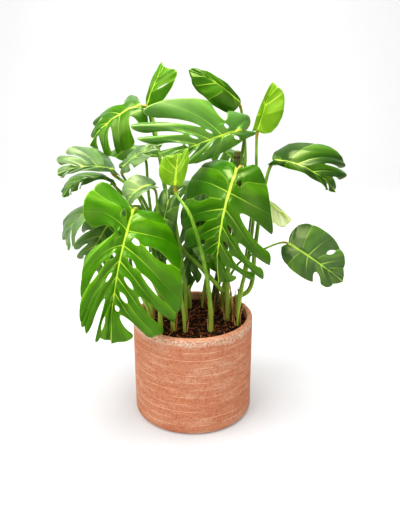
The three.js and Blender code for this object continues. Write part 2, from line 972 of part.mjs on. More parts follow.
    gap: 0.035,
    joined: [[1], [1]],
    holes: 0,
    sag: 0.05,
    seed: 21,
    heart: 1,
    sweep: [0.2, 0.2],
    flare: [0, 0],
    slots: [[], []],
  },
];

function mesh(name, geometry, colour, roughness) {
  const material = new THREE.MeshStandardMaterial({ color: colour, roughness, metalness: 0 });
  const made = new THREE.Mesh(geometry, material);
  made.name = name;
  return made;
}

// Woody canes and dry pieces that stand among the stalks.
const STEMS = [
  {
    name: "cane_right",
    root: [44, 44],
    points: [[62, 34, 320], [80, 14, 440], [84, 6, 530]],
    stout: 8,
    thinning: 0.2,
    colour: COLOURS.cane,
  },
  {
    name: "cane_left",
    root: [-22, 44],
    points: [[-38, 52, 320], [-52, 60, 436]],
    stout: 8,
    thinning: 0.3,
    colour: COLOURS.cane,
  },
  {
    name: "air_root",
    root: [80, -8],
    points: [[74, 6, 262], [60, 6, 300]],
    stout: 2.6,
    thinning: 0.5,
    colour: COLOURS.husk,
  },
  {
    name: "dry_sheath",
    root: [96, 34],
    points: [[97, 33, 222], [92, 30, 246]],
    stout: 4.5,
    thinning: 0.7,
    colour: COLOURS.husk,
  },
];
const YOUNG = ["young_cupped", "young_pale", "right_underside", "top_curled"];
const OLD = ["right_low", "middle_shaded"];

function leafColour(name) {
  if (YOUNG.includes(name)) return COLOURS.youngLeaf;
  return OLD.includes(name) ? COLOURS.oldLeaf : COLOURS.leaf;
}

const plant = new THREE.Group();
const soil = soilSolid([...FRONDS, ...STEMS]);
plant.add(mesh("pot", potGeometry(), COLOURS.terracotta, 0.9));
plant.add(mesh("soil", geometryOf(soil), COLOURS.soil, 1));
for (const { name, root, points, stout, thinning, colour } of STEMS) {
  const solid = stemSolid(root, points.map(vec), stout, thinning);
  plant.add(mesh(name, geometryOf(solid), colour, 0.8));
}
for (const frond of FRONDS) {
  plant.add(mesh("frond_" + frond.name, geometryOf(frondSolid(frond)), leafColour(frond.name), 0.4));
}

export default plant;
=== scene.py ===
"""A potted monstera: the terracotta pot, its soil, and every stalk and leaf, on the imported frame."""

import math
from collections import namedtuple

import bpy
import numpy as np
from bpy.props import FloatProperty, FloatVectorProperty, IntProperty, PointerProperty
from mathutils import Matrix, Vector


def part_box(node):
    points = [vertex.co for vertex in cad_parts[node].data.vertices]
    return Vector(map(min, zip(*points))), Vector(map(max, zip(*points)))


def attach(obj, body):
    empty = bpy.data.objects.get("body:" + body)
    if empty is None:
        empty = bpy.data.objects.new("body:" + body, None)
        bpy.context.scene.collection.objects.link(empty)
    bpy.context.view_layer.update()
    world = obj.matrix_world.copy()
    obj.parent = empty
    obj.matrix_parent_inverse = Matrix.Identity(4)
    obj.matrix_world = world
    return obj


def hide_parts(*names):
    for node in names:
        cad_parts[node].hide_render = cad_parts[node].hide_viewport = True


bl_info = {
    "name": "Potted monstera",
    "version": (1, 0, 0),
    "blender": (4, 5, 0),
    "location": "View3D > Sidebar > Monstera",
    "description": "Builds a monstera in a terracotta pot",
    "category": "Add Mesh",
}

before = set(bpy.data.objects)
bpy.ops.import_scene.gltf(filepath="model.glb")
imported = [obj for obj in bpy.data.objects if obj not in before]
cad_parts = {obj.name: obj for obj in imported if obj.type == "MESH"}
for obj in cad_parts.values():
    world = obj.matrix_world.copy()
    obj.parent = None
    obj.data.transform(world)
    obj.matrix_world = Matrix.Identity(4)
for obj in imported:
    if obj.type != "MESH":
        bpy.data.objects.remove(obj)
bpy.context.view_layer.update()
POT_LOW, POT_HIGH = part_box("pot")
SOIL_LOW, SOIL_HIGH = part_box("soil")

MM = 0.001

# Half of a leaf's outline, in shares of its length: across, along.
HALF_OUTLINE = np.array([
    (0.012, -0.03), (0.1, -0.2), (0.28, -0.27), (0.44, -0.19), (0.53, 0.02),
    (0.54, 0.32), (0.46, 0.61), (0.34, 0.8), (0.16, 0.94), (0.0, 1.04),
])
OUTLINE_END = len(HALF_OUTLINE) - 1
LAST_CUT = 7.75  # where on the outline the cut beside the tip lobe opens
LAST_VEIN = 0.7  # where on the midrib that cut starts
FIRST_LOBE = 0.55  # the smaller, the larger are the lobes beside the stalk
VEIN_ASIDE = 0.56  # where a lobe's vein ends, as a share of the way from its near cut to its far one
SPLIT_AT = 0.5  # row of a lobe's grid where the cuts start
SPLIT_SPREAD = 0.14  # how far the depths of the cuts differ
HOLE_FROM, HOLE_TO = 0.16, 0.38  # rows where a hole starts and ends
HOLE_HALF = 0.022  # half the width of a hole, in shares of the leaf's length
SLOT_END = 0.82  # row where a closed slot ends
SLOT_SHARE = 0.45  # width of a closed slot as a share of an open cut's
BOW = 0.08  # how far a vein bows towards the stalk
TIP_REACH, LOBE_REACH, REACH_SPREAD = 1.01, 1.02, 0.06  # how far lobes stand out past the outline
BLUNT_OPEN, BLUNT_JOINED = 0.11, 0.025  # how far the corners of a lobe are rounded off
CORNER = 2.6  # the smaller, the rounder is the end of a lobe
LOBE_WIDTH = 0.13  # width of a lobe for each step of the outline, in shares of the leaf's length
FAR_OFF = 99  # millimetres to a vein or an edge where there is none
FULL_SIZE = 190  # a leaf shorter than this, in millimetres, is flatter between its veins
MIDRIB_LEAST, MIDRIB_MORE = 0.4, 1.9  # millimetres that it stands out at the tip, and more at the stalk
VEIN_HIGH, VEIN_HALF = 0.35, 0.8  # millimetres that a side vein stands out, and about half its width
MEETING = 0.02  # points of two lobes closer than this, in millimetres, are one

# The rows of a lobe's grid from the midrib to the edge, closer together at the hole, the slot and the end.
ROWS = np.array([
    0, 0.012, 0.03, 0.06, 0.095, 0.13, 0.16, 0.175, 0.2, 0.235, 0.27, 0.305, 0.34, 0.365, 0.38, 0.41,
    0.44, 0.47, 0.5, 0.507, 0.52, 0.54, 0.57, 0.6, 0.64, 0.68, 0.72, 0.76, 0.8, 0.82, 0.85, 0.88, 0.91,
    0.94, 0.965, 0.985, 1,
])
# Its columns from the near cut (-1) over the vein (0) to the far cut (1).
COLUMNS = np.array([
    -1, -0.96, -0.88, -0.74, -0.56, -0.36, -0.16, -0.05, 0, 0.05, 0.16, 0.36, 0.56, 0.74, 0.88, 0.96, 1,
])

# Stalks and stems, in millimetres.
SOIL_TOP = 190
ROOT_DEPTH = 26  # how deep a stem stands in the soil
UPRIGHT = 20  # how far it rises before it leans
KNEE_BACK, KNEE_DROP = 12, 9  # where a stalk passes behind and below the foot of its blade
INTO_BLADE = 9  # how far a stalk runs into its blade
KNEE_AT, KNEE_LONG = 20, 8  # where a stalk is swollen, from its end
KNEE_SWELL, STALK_THINS = 0.22, 0.5  # by what share it swells there, and how far it thins to its end
CANE_RING = 38  # between two leaf scars on a cane
HUSKS_EACH = 2  # husks beside one stalk
HUSK_LEAST, HUSK_SPREAD = 16, 40  # height of the lowest husk, and how much higher others are
HUSK_DEPTH = 4  # how deep a husk stands in the soil
HUSK_BESIDE = 6  # how far it stands from the middle of the stalk
HUSK_LEAN = 18  # how far its top leans away
HUSK_RADII = 2.2, 0.5  # at the foot and at the tip
STEM_STEPS, STEM_SIDES = 90, 18  # points along a stem and round it
HUSK_STEPS, HUSK_SIDES = 16, 8
STALK_STEPS = 30  # the fewest points along a leaf stalk

# The pot and the soil, in metres.
POT_SIDES, SOIL_SIDES, SOIL_RINGS = 160, 180, 70
POT_WALL = 0.011
INNER_RIM, INNER_FOOT = 0.003, 0.004  # radii of the pot's inner edges
SOIL_WAIST = 0.1  # every point of the soil above this is on its lumpy top
BITS_BELOW = 0.012  # crumbs and chips lie on faces at most this far below SOIL_TOP
BITS_EDGE = 0.012  # and about this far inside the pot's outside
LOOKS_UP = 0.3  # the least upward share of the normal of a face that they lie on

# One leaf with its stalk. Points are in millimetres, and angles in degrees. A pair is for the two halves of
# the blade. Cuts are counted from the stalk: at a joined one the lobes hold together, with or without a slot.
Frond = namedtuple(
    "Frond",
    "name tone base tip face root via stout width bend fold droop lobes split gap seed"
    " joined holes slots sag heart sweep flare",
    defaults=([[1], [1]], 0, [[], []], 0.05, 1, (0.2, 0.2), (0, 0)),
)

FRONDS = [
    Frond(
        "front_left", "bright", base=(-104, -75, 437), tip=(-140, -166, 232), face=(-0.16, -0.8, 0.45),
        root=(-62, -51), via=[(-64, -58, 299), (-81, -55, 392)], stout=5.5,
        width=(0.51, 1), bend=53, fold=(44, -25), droop=(3, 27), heart=0.4,
        sweep=(0.28, 0.42), flare=(0.81, -0.4), lobes=6, split=0.36, gap=0.06, seed=1, holes=0.7,
        joined=[[1, 3, 4, 6], [1, 2, 3, 5]], slots=[[3, 6], [2, 3]],
    ),
    Frond(
        "front_middle", "grown", base=(80, -54, 506), tip=(48, -79, 309), face=(-0.43, -0.85, 0.63),
        root=(70, 5), via=[(69, -10, 291), (85, -18, 434)], stout=5.5,
        width=(1.01, 0.91), bend=56, fold=(-12, -24), droop=(13, 42), heart=0.54,
        sweep=(0.12, 0.53), flare=(0.03, -0.5), lobes=5, split=0.36, gap=0.07, seed=2, holes=0.3,
        joined=[[1, 2, 3, 4, 5], [1]], slots=[[2, 3, 4, 5], []],
    ),
    Frond(
        "top_middle", "glossy", base=(90, 38, 563), tip=(-40, -25, 523), face=(-0.08, -0.8, 0.73),
        root=(44, 70), via=[(66, 62, 350), (93, 50, 500)], stout=5.9,
        width=(1.19, 0.31), bend=19, fold=(29, -12), droop=(8, 20), heart=0.99,
        sweep=(0.65, 0.33), flare=(-0.48, -0.49), lobes=4, split=0.3, gap=0.05, seed=3, holes=0.95,
        joined=[[], [1, 2]], slots=[[], [1, 2]],
    ),
    Frond(
        "top_left", "grown", base=(-100, 86, 607), tip=(-200, 78, 535), face=(-0.69, -0.75, 1.36),
        root=(80, 29), stout=5.5,
        via=[(50, 0, 264), (14, 0, 306), (-25, 5, 348), (-53, 32, 451), (-73, 80, 560)],
        width=(1, 0.96), bend=43, fold=(8, -1), droop=(11, 59), sag=0.07, heart=0.16,
        sweep=(0.33, 0.27), flare=(0.43, -0.5), lobes=3, split=0.33, gap=0.07, seed=4, joined=[[], []],
    ),
    Frond(
        "top_small", "bright", base=(-92, 128, 602), tip=(-58, 123, 675), face=(-0.56, -0.9, 0.66),
        root=(-8, 58), via=[(-35, 74, 315), (-59, 104, 456)], stout=4.8,
        width=(0.83, 0.46), bend=24, fold=(4, 0), droop=(34, 25), sag=0.03, heart=0.21,
        sweep=(0.51, 0.47), flare=(-0.5, -0.44), lobes=2, split=0.3, gap=0.06, seed=5,
        joined=[[1, 2], [1, 2]], slots=[[1], [1]],
    ),
    Frond(
        "top_curled", "grown", base=(94, 114, 609), tip=(-3, 114, 671), face=(-0.21, -0.75, 0.84),
        root=(62, 76), via=[(88, 84, 350), (106, 98, 500)], stout=4.8,
        width=(0.18, 0.57), bend=42, fold=(12, -6), droop=(12, 43), sag=0.03, heart=0.1,
        sweep=(0.16, 0.08), flare=(-0.39, -0.39), lobes=2, split=1, gap=0.01, seed=6,
        joined=[[1, 2], [1, 2]],
    ),
    Frond(
        "young_cupped", "fresh", base=(120, 4, 569), tip=(142, 0, 650), face=(-0.12, -0.85, 0.45),
        root=(90, 18), via=[(111, 26, 310), (121, 16, 455)], stout=4.8,
        width=(0.85, 0.2), bend=6, fold=(39, 20), droop=(39, 23), sag=0.0, heart=0.11,
        sweep=(0.19, -0.11), flare=(-0.49, 0.03), lobes=2, split=1, gap=0.01, seed=7,
        joined=[[1, 2], [1, 2]],
    ),
    Frond(
        "right_high", "olive", base=(156, 22, 509), tip=(263, -17, 462), face=(0.08, -0.75, 0.76),
        root=(82, 52), via=[(116, 45, 237), (125, 34, 334), (136, 25, 443)], stout=5.8,
        width=(0.16, 1.14), bend=72, fold=(26, 5), droop=(23, 20), heart=0.51,
        sweep=(0.18, 0.5), flare=(-0.35, -0.46), lobes=3, split=0.42, gap=0.045, seed=8,
        joined=[[1, 2], [1]],
    ),
    Frond(
        "right_low", "dark", base=(184, -20, 358), tip=(281, -50, 296), face=(0.12, -0.85, 0.34),
        root=(62, 42), via=[(64, 32, 238), (90, 10, 307), (134, -8, 342)], stout=3.4,
        width=(0.59, 0.91), bend=33, fold=(-3, 6), droop=(22, 13), sag=0.02, heart=0.29,
        sweep=(0.11, 0.07), flare=(-0.46, -0.2), lobes=3, split=0.5, gap=0.085, seed=9,
        joined=[[1, 3], [1, 2, 3]], slots=[[], [2]],
    ),
    Frond(
        "left_high", "silvery", base=(-149, 20, 491), tip=(-237, -40, 498), face=(0.1, -0.6, 0.71),
        root=(-38, -52), via=[(-43, -34, 269), (-67, 2, 359), (-100, 14, 445)], stout=5.3,
        width=(0.94, 0.16), bend=55, fold=(9, 25), droop=(20, 16), heart=0.61,
        sweep=(0.2, 0.35), flare=(0, -0.03), lobes=3, split=0.4, gap=0.03, seed=10, joined=[[1], [1, 2]],
    ),
    Frond(
        "left_under", "deep", base=(-156, 52, 465), tip=(-243, 3, 448), face=(-0.57, -0.5, 1.35),
        root=(-62, 28), via=[(-91, 36, 285), (-129, 58, 425)], stout=4.6,
        width=(0.99, 0.18), bend=79, fold=(6, 20), droop=(17, 17), heart=0.26,
        sweep=(0.33, 0.14), flare=(-0.11, 0.1), lobes=3, split=0.45, gap=0.035, seed=11,
    ),
    Frond(
        "left_strap", "silvery", base=(-133, 34, 496), tip=(-60, 43, 540), face=(-0.28, -0.75, 0.81),
        root=(-45, 5), via=[(-65, 25, 331), (-108, 34, 441)], stout=4.3,
        width=(0.49, 0.5), bend=30, fold=(16, 3), droop=(12, 28), sag=0.03, heart=0.4,
        sweep=(0.12, 0.09), flare=(-0.29, -0.16), lobes=3, split=0.4, gap=0.04, seed=22, joined=[[], []],
    ),
    Frond(
        "left_inner", "silvery", base=(-78, -18, 470), tip=(-117, -36, 446), face=(-0.3, -0.65, 1.32),
        root=(-16, -50), via=[(-34, -44, 330), (-64, -20, 415)], stout=4.1,
        width=(1.24, 0.7), bend=63, fold=(23, 22), droop=(7, 18), sag=0.04, heart=1.26,
        sweep=(0.1, 0.4), flare=(-0.43, -0.48), lobes=2, split=0.55, gap=0.02, seed=12,
        joined=[[1, 2], [1, 2]],
    ),
    Frond(
        "left_far", "silvery", base=(-173, -5, 425), tip=(-233, -45, 366), face=(-0.71, -0.6, 1.3),
        root=(-84, -24), via=[(-114, -18, 284), (-147, 0, 380)], stout=4.3,
        width=(0.97, 0.77), bend=87, fold=(2, 28), droop=(8, 18), heart=0.11,
        sweep=(0.3, 0.4), flare=(-0.43, -0.13), lobes=3, split=0.45, gap=0.03, seed=13,
    ),
    Frond(
        "left_low", "deep", base=(-147, 40, 407), tip=(-214, 22, 294), face=(-0.3, -0.8, 0.45),
        root=(-84, 10), via=[(-116, 26, 256), (-134, 50, 376)], stout=4.3,
        width=(0.8, 0.8), bend=35, fold=(8, 8), droop=(24, 24),
        sweep=(0.25, 0.25), lobes=4, split=0.42, gap=0.03, seed=14,
    ),
    Frond(
        "middle_shaded", "deep", base=(-46, 2, 433), tip=(-66, -24, 319), face=(-0.2, -0.85, 0.45),
        root=(-14, -4), via=[(-15, -10, 270), (-31, -10, 393)], stout=4.6,
        width=(0.4, 0.36), bend=35, fold=(8, 8), droop=(24, 24),
        lobes=4, split=0.45, gap=0.03, seed=15,
    ),
    Frond(
        "young_pale", "fresh", base=(-29, -68, 482), tip=(-24, -59, 532), face=(-0.03, -0.9, 0.58),
        root=(36, -46), via=[(34, -56, 247), (22, -88, 344), (-3, -98, 436)], stout=5.5,
        width=(0.74, 1.12), bend=8, fold=(26, 24), droop=(21, 25), sag=0.02, heart=0.11,
        sweep=(0.63, 0.23), flare=(-0.31, -0.46), lobes=2, split=0.75, gap=0.012, seed=16,
    ),
    Frond(
        "right_underside", "young", base=(132, -12, 444), tip=(181, -25, 405), face=(0.3, 0.9, 0.41),
        root=(90, -22), via=[(96, -28, 267), (105, -28, 368)], stout=3.4,
        width=(0.22, 0.73), bend=24, fold=(4, 1), droop=(13, 38), sag=0.0, heart=0.11,
        sweep=(0.39, 0.29), flare=(-0.3, -0.48), lobes=2, split=1, gap=0.01, seed=17,
        joined=[[1, 2], [1, 2]],
    ),
    Frond(
        "middle_low", "deep", base=(28, 32, 421), tip=(-12, 22, 260), face=(-0.25, -0.85, 0.4),
        root=(36, 26), via=[(31, 34, 253), (37, 48, 366)], stout=4.8,
        width=(0.4, 0.4), bend=35, fold=(8, 8), droop=(24, 24),
        lobes=4, split=0.45, gap=0.03, seed=18,
    ),
    Frond(
        "back_left", "bright", base=(-106, 134, 509), tip=(-170, 205, 498), face=(-0.5, 0.45, 0.75),
        root=(-52, 62), via=[(-71, 86, 266), (-94, 122, 431)], stout=5.0,
        width=(1, 1), bend=42, fold=(8, 8), droop=(26, 26),
        lobes=3, split=0.4, gap=0.035, seed=19,
    ),
    Frond(
        "back_right", "bright", base=(43, 124, 519), tip=(94, 200, 470), face=(0.35, 0.55, 0.75),
        root=(22, 66), via=[(39, 75, 315), (60, 108, 455)], stout=5.0,
        width=(0.8, 0.8), bend=45, fold=(8, 8), droop=(26, 26),
        lobes=3, split=0.4, gap=0.035, seed=20,
    ),
    Frond(
        "back_middle", "deep", base=(6, 118, 449), tip=(-17, 200, 387), face=(-0.05, 0.7, 0.7),
        root=(-14, 84), via=[(6, 85, 266), (0, 105, 393)], stout=5.0,
        width=(0.8, 0.8), bend=50, fold=(8, 8), droop=(26, 26),
        lobes=3, split=0.4, gap=0.035, seed=21,
    ),
]

# A stem without a leaf: where it stands, the points that it passes, its radius and how far it thins.
Stem = namedtuple("Stem", "name finish root points stout thinning")
STEMS = [
    Stem("cane_right", "cane", (44, 44), [(62, 34, 320), (80, 14, 440), (84, 6, 530)], 8, 0.2),
    Stem("cane_left", "cane", (-22, 44), [(-38, 52, 320), (-52, 60, 436)], 8, 0.3),
    Stem("air_root", "husk", (80, -8), [(74, 6, 262), (60, 6, 300)], 2.6, 0.5),
    Stem("dry_sheath", "husk", (96, 34), [(97, 33, 222), (92, 30, 246)], 4.5, 0.7),
]

# Each tone of leaf: its age from young yellow-green (0) to old blue-green (1), and its share of painted
# light, a pale painted sheen.
# For the young tone the painted light is near white: painted light shining through the underside.
# The darker tones given to leaves in shade partly stand for painted shade.
TONES = {
    "young": (0.0, 0.7), "fresh": (0.28, 0.0), "bright": (0.42, 0.0),
    "glossy": (0.6, 0.12), "grown": (0.7, 0.0), "deep": (0.8, 0.12),
    "silvery": (0.9, 0.25), "olive": (0.95, 0.0), "dark": (1.0, 0.12),
}

# Each soft light: where it is, what it looks at, how wide it is, and its power as a share of the key power.
PLANT, BACKDROP = (0, 0, 0.4), (0, 3.4, 1.0)
LIGHTS = {
    "soft_key": ((-1.4, -1.0, 1.85), PLANT, 2.4, 1.2),
    "soft_fill": ((1.2, -1.5, 0.7), PLANT, 1.4, 0.22),
    "soft_top": ((-0.1, -0.2, 2.1), PLANT, 1.3, 0.65),
    "paper_light": ((0.0, 0.6, 3.2), BACKDROP, 2.0, 3),
}
FLOOR_HALF, FLOOR_BACK, BACKDROP_TOP = 30, 2.2, 7  # the paper's size in metres
CURVE_RADIUS = 1.2  # of its bend up behind the plant


def linear(code):
    """An sRGB hex colour as linear RGBA."""
    values = [int(code[i:i + 2], 16) / 255 for i in (1, 3, 5)]
    return [v / 12.92 if v <= 0.04045 else ((v + 0.055) / 1.055) ** 2.4 for v in values] + [1.0]


def colour_setting(name, code):
    """A colour setting with an sRGB hex default."""
    return FloatVectorProperty(name=name, subtype="COLOR", size=4, min=0.0, max=1.0, default=linear(code))


def length_setting(name, default, description):
    """A length setting in metres."""
    return FloatProperty(name=name, description=description, default=default, min=0.0001, unit="LENGTH")


def whole_setting(name, default, description):
    """A setting that is a whole number."""
    return IntProperty(name=name, description=description, default=default, min=0)


class PotSettings(bpy.types.PropertyGroup):
    radius: length_setting("Radius", (POT_HIGH[0] - POT_LOW[0]) / 2, "Outside radius of the pot")
    height: length_setting("Height", POT_HIGH[2] - POT_LOW[2], "Height of the rim above the foot")
    wall: length_setting("Wall", POT_WALL, "Thickness of the wall")
    floor: length_setting("Floor", 0.012, "Thickness of the floor")
    foot_rounding: length_setting("Foot rounding", 0.009, "Radius of the edge round the foot")
    rim_rounding: length_setting("Rim rounding", 0.005, "Radius of the edge round the rim")
    line_spacing: length_setting("Line spacing", 0.0156, "Distance between the fine lines round the wall")
    clay: colour_setting("Clay", "#bb7c5e")
    pale_clay: colour_setting("Pale clay", "#d29c7f")
    lime: colour_setting("Lime", "#e6d8c4")


class SoilSettings(bpy.types.PropertyGroup):
    crumbs: whole_setting("Crumbs", 2600, "Number of crumbs on the soil")
    crumb_size: length_setting("Crumb size", 0.0036, "Largest crumb")
    chips: whole_setting("Chips", 1000, "About the number of bark chips, fibres and grit")
    chip_length: length_setting("Chip length", 0.013, "Longest chip")
    seed: whole_setting("Seed", 7, "Seed of the scattering")
    peat: colour_setting("Peat", "#24160f")
    bark: colour_setting("Bark", "#9c5c34")


class LeafSettings(bpy.types.PropertyGroup):
    thickness: length_setting("Thickness", 0.0008, "Thickness of a leaf")
    vein_width: length_setting("Vein width", 0.0012, "Width of a side vein where it leaves the midrib")
    puff: length_setting("Puff", 0.0055, "How far a leaf stands up between its veins")
    wave: length_setting("Wave", 0.0028, "How far the edge of a leaf waves")
    young: colour_setting("Young leaf", "#b8d63a")
    bright: colour_setting("Grown leaf", "#478200")
    # The old leaf colour, which also darkens the leaves in shade as painted shade.
    dark: colour_setting("Old leaf", "#1c4a08")
    vein: colour_setting("Vein", "#c4dc52")
    # The colour of the painted sheen on older leaves.
    painted_light: colour_setting("Painted light", "#b0c6a4")
    underside: colour_setting("Underside", "#86b55a")


class StalkSettings(bpy.types.PropertyGroup):
    sides: whole_setting("Sides", 14, "Sides of a leaf stalk")
    step: length_setting("Step", 0.004, "Length of one step along a leaf stalk")
    green: colour_setting("Stalk", "#6f9a2a")
    knee: colour_setting("Knee", "#b59a3c")
    cane: colour_setting("Cane", "#5d7238")
    husk: colour_setting("Husk", "#b07a48")


class StudioSettings(bpy.types.PropertyGroup):
    focal_length: FloatProperty(name="Focal length", description="In millimetres", default=41.1, min=10.0)
    pitch: FloatProperty(
        name="Pitch", description="How far the camera looks down",
        default=math.radians(18.7), subtype="ANGLE")
    place: FloatVectorProperty(
        name="Camera place", description="Where the camera stands",
        size=3, subtype="TRANSLATION", default=(0.0145, -1.072, 0.694))
    key: FloatProperty(name="Key light", description="Power that the lights share", default=27.0, min=0.0)
    sky: FloatProperty(name="Sky", description="Strength of the light from all round", default=0.42, min=0.0)


# ---------------------------------------------------------------- materials

def add(tree, kind, settings=None, inputs=None, **named):
    """Add a node. Settings are its properties. Each input is a value, or the socket that feeds it."""
    node = tree.nodes.new(kind)
    for key, value in (settings or {}).items():
        setattr(node, key, value)
    named = {key.replace("_", " "): value for key, value in named.items()}
    for key, value in {**(inputs or {}), **named}.items():
        if isinstance(value, bpy.types.NodeSocket):
            tree.links.new(value, node.inputs[key])
        else:
            node.inputs[key].default_value = value
    return node


def object_place(tree):
    """The place of a point on its object, in metres."""
    return add(tree, "ShaderNodeTexCoord").outputs["Object"]


def split_xyz(tree, vector):
    """The three numbers of a vector."""
    return add(tree, "ShaderNodeSeparateXYZ", Vector=vector).outputs[:3]


def kept_xyz(tree, name):
    """The three numbers that a mesh keeps at each point under a name."""
    return split_xyz(tree, add(tree, "ShaderNodeAttribute", {"attribute_name": name}).outputs["Vector"])


def maths(tree, operation, first, second=0.0):
    """One step of arithmetic."""
    return add(tree, "ShaderNodeMath", {"operation": operation}, {0: first, 1: second}).outputs[0]


def product(tree, first, *others):
    """Values multiplied together."""
    for each in others:
        first = maths(tree, "MULTIPLY", first, each)
    return first


def off_middle(tree, value, spacing):
    """How far a value is from the middle of its step, where each step is one spacing long."""
    turn = maths(tree, "FRACT", maths(tree, "DIVIDE", value, spacing))
    return maths(tree, "ABSOLUTE", maths(tree, "SUBTRACT", turn, 0.5))


def fade(tree, value, low, high, to_low=0.0, to_high=1.0):
    """A smooth step of a value: to_low under low, to_high over high."""
    return add(
        tree, "ShaderNodeMapRange", {"interpolation_type": "SMOOTHSTEP"},
        Value=value, From_Min=low, From_Max=high, To_Min=to_low, To_Max=to_high,
    ).outputs[0]


def blend(tree, amount, first, second):
    """Two colours mixed by an amount. Each is a socket, linear RGBA or an sRGB hex colour."""
    first, second = (linear(each) if isinstance(each, str) else each for each in (first, second))
    return add(tree, "ShaderNodeMix", {"data_type": "RGBA"}, {0: amount, 6: first, 7: second}).outputs[2]


def squeezed(tree, vector, squeeze):
    """A place multiplied along each axis."""
    return add(tree, "ShaderNodeMapping", Vector=vector, Scale=squeeze).outputs[0]


def noise(tree, vector, size, detail=3.0, roughness=0.55, squeeze=None):
    """Noise whose blotches are about size metres across, or less along an axis by what it is squeezed."""
    if squeeze:
        vector = squeezed(tree, vector, squeeze)
    return add(
        tree, "ShaderNodeTexNoise", Vector=vector, Scale=1 / size, Detail=detail, Roughness=roughness,
    ).outputs[0]


def finish(tree, shader, colour, roughness, raised=None, strength=0.5, depth=MM, **values):
    """Give the shader its colour, its roughness, a bump where something is raised, and any other value."""
    tree.links.new(colour, shader.inputs["Base Color"])
    shader.inputs["Roughness"].default_value = roughness
    for key, value in values.items():
        shader.inputs[key.replace("_", " ")].default_value = value
    if raised is not None:
        bump = add(tree, "ShaderNodeBump", Height=raised, Strength=strength, Distance=depth)
        tree.links.new(bump.outputs[0], shader.inputs["Normal"])


def material(name, draw, *values):
    """The named material, drawn on its first use."""
    made = bpy.data.materials.get(name)
    if made is None:
        made = bpy.data.materials.new(name)
        made.use_nodes = True
        tree = made.node_tree
        tree.nodes.clear()
        shader = add(tree, "ShaderNodeBsdfPrincipled")
        add(tree, "ShaderNodeOutputMaterial", Surface=shader.outputs[0])
        draw(tree, shader, *values)
    return made


def fired_terracotta(tree, shader, pot):
    """Unglazed clay, pressed and fired: matt, with faint lines round it and sweated lime under the rim."""
    place = object_place(tree)
    height = split_xyz(tree, place)[2]
    flat = squeezed(tree, place, (1, 1, 3.5))
    clouds = noise(tree, flat, 0.055, 4)
    grit = noise(tree, place, 0.004, 3, 0.7)
    wipes = noise(tree, place, 0.03, 5, 0.75, squeeze=(1, 1, 4))
    colour = blend(tree, fade(tree, clouds, 0.3, 0.72, 0.2, 0.65), pot.clay, pot.pale_clay)
    colour = blend(tree, fade(tree, wipes, 0.45, 0.7, 0, 0.3), colour, "#dcb8a0")
    colour = blend(tree, fade(tree, grit, 0.42, 0.66, 0, 0.5), colour, "#a2603f")
    # Fine lines round the wall: one every line_spacing, wavering by some millimetres and broken.
    waver = product(tree, noise(tree, flat, 0.06, 2), 0.004)
    off = off_middle(tree, maths(tree, "ADD", height, waver), pot.line_spacing)
    patches = fade(tree, noise(tree, flat, 0.05, 3), 0.4, 0.56)
    line = product(tree, fade(tree, off, 0.014, 0.045, 1, 0), patches)
    colour = blend(tree, product(tree, line, 0.7), colour, "#f0cdb0")
    # Lime comes out just under the rim, and thinly lower down.
    flecks = noise(tree, place, 0.0035, 5, 0.75, squeeze=(1, 1, 1.8))
    ragged = maths(tree, "ADD", height, product(tree, maths(tree, "SUBTRACT", clouds, 0.5), 0.02))
    band = product(
        tree, fade(tree, ragged, pot.height - 0.019, pot.height - 0.011),
        fade(tree, height, pot.height - 0.004, pot.height - 0.001, 1, 0.25),
    )
    crust = product(tree, band, fade(tree, flecks, 0.44, 0.58))
    veil = fade(tree, noise(tree, flat, 0.07, 5, 0.65), 0.48, 0.64)
    haze = product(tree, veil, 0.3, fade(tree, flecks, 0.42, 0.6))
    colour = blend(tree, maths(tree, "MAXIMUM", product(tree, crust, 0.85), haze), colour, pot.lime)
    raised = maths(tree, "ADD", product(tree, grit, 0.35), product(tree, crust, 0.5))
    raised = maths(tree, "SUBTRACT", raised, product(tree, line, 0.5))
    finish(tree, shader, colour, 0.88, raised, 0.6, 0.0008, IOR=1.5, Specular_IOR_Level=0.3)


def damp_peat(tree, shader, first, second, size):
    """Peat, bark and fibre: dark, matt and broken, paler in patches."""
    place = object_place(tree)
    grains = noise(tree, place, 0.0015, 3, 0.6)
    colour = blend(tree, fade(tree, noise(tree, place, size, 4, 0.65), 0.4, 0.66), first, second)
    colour = blend(tree, fade(tree, grains, 0.55, 0.75, 0, 0.5), colour, "#5f3d26")
    finish(tree, shader, colour, 0.9, grains, 0.8, 0.001, Specular_IOR_Level=0.25)


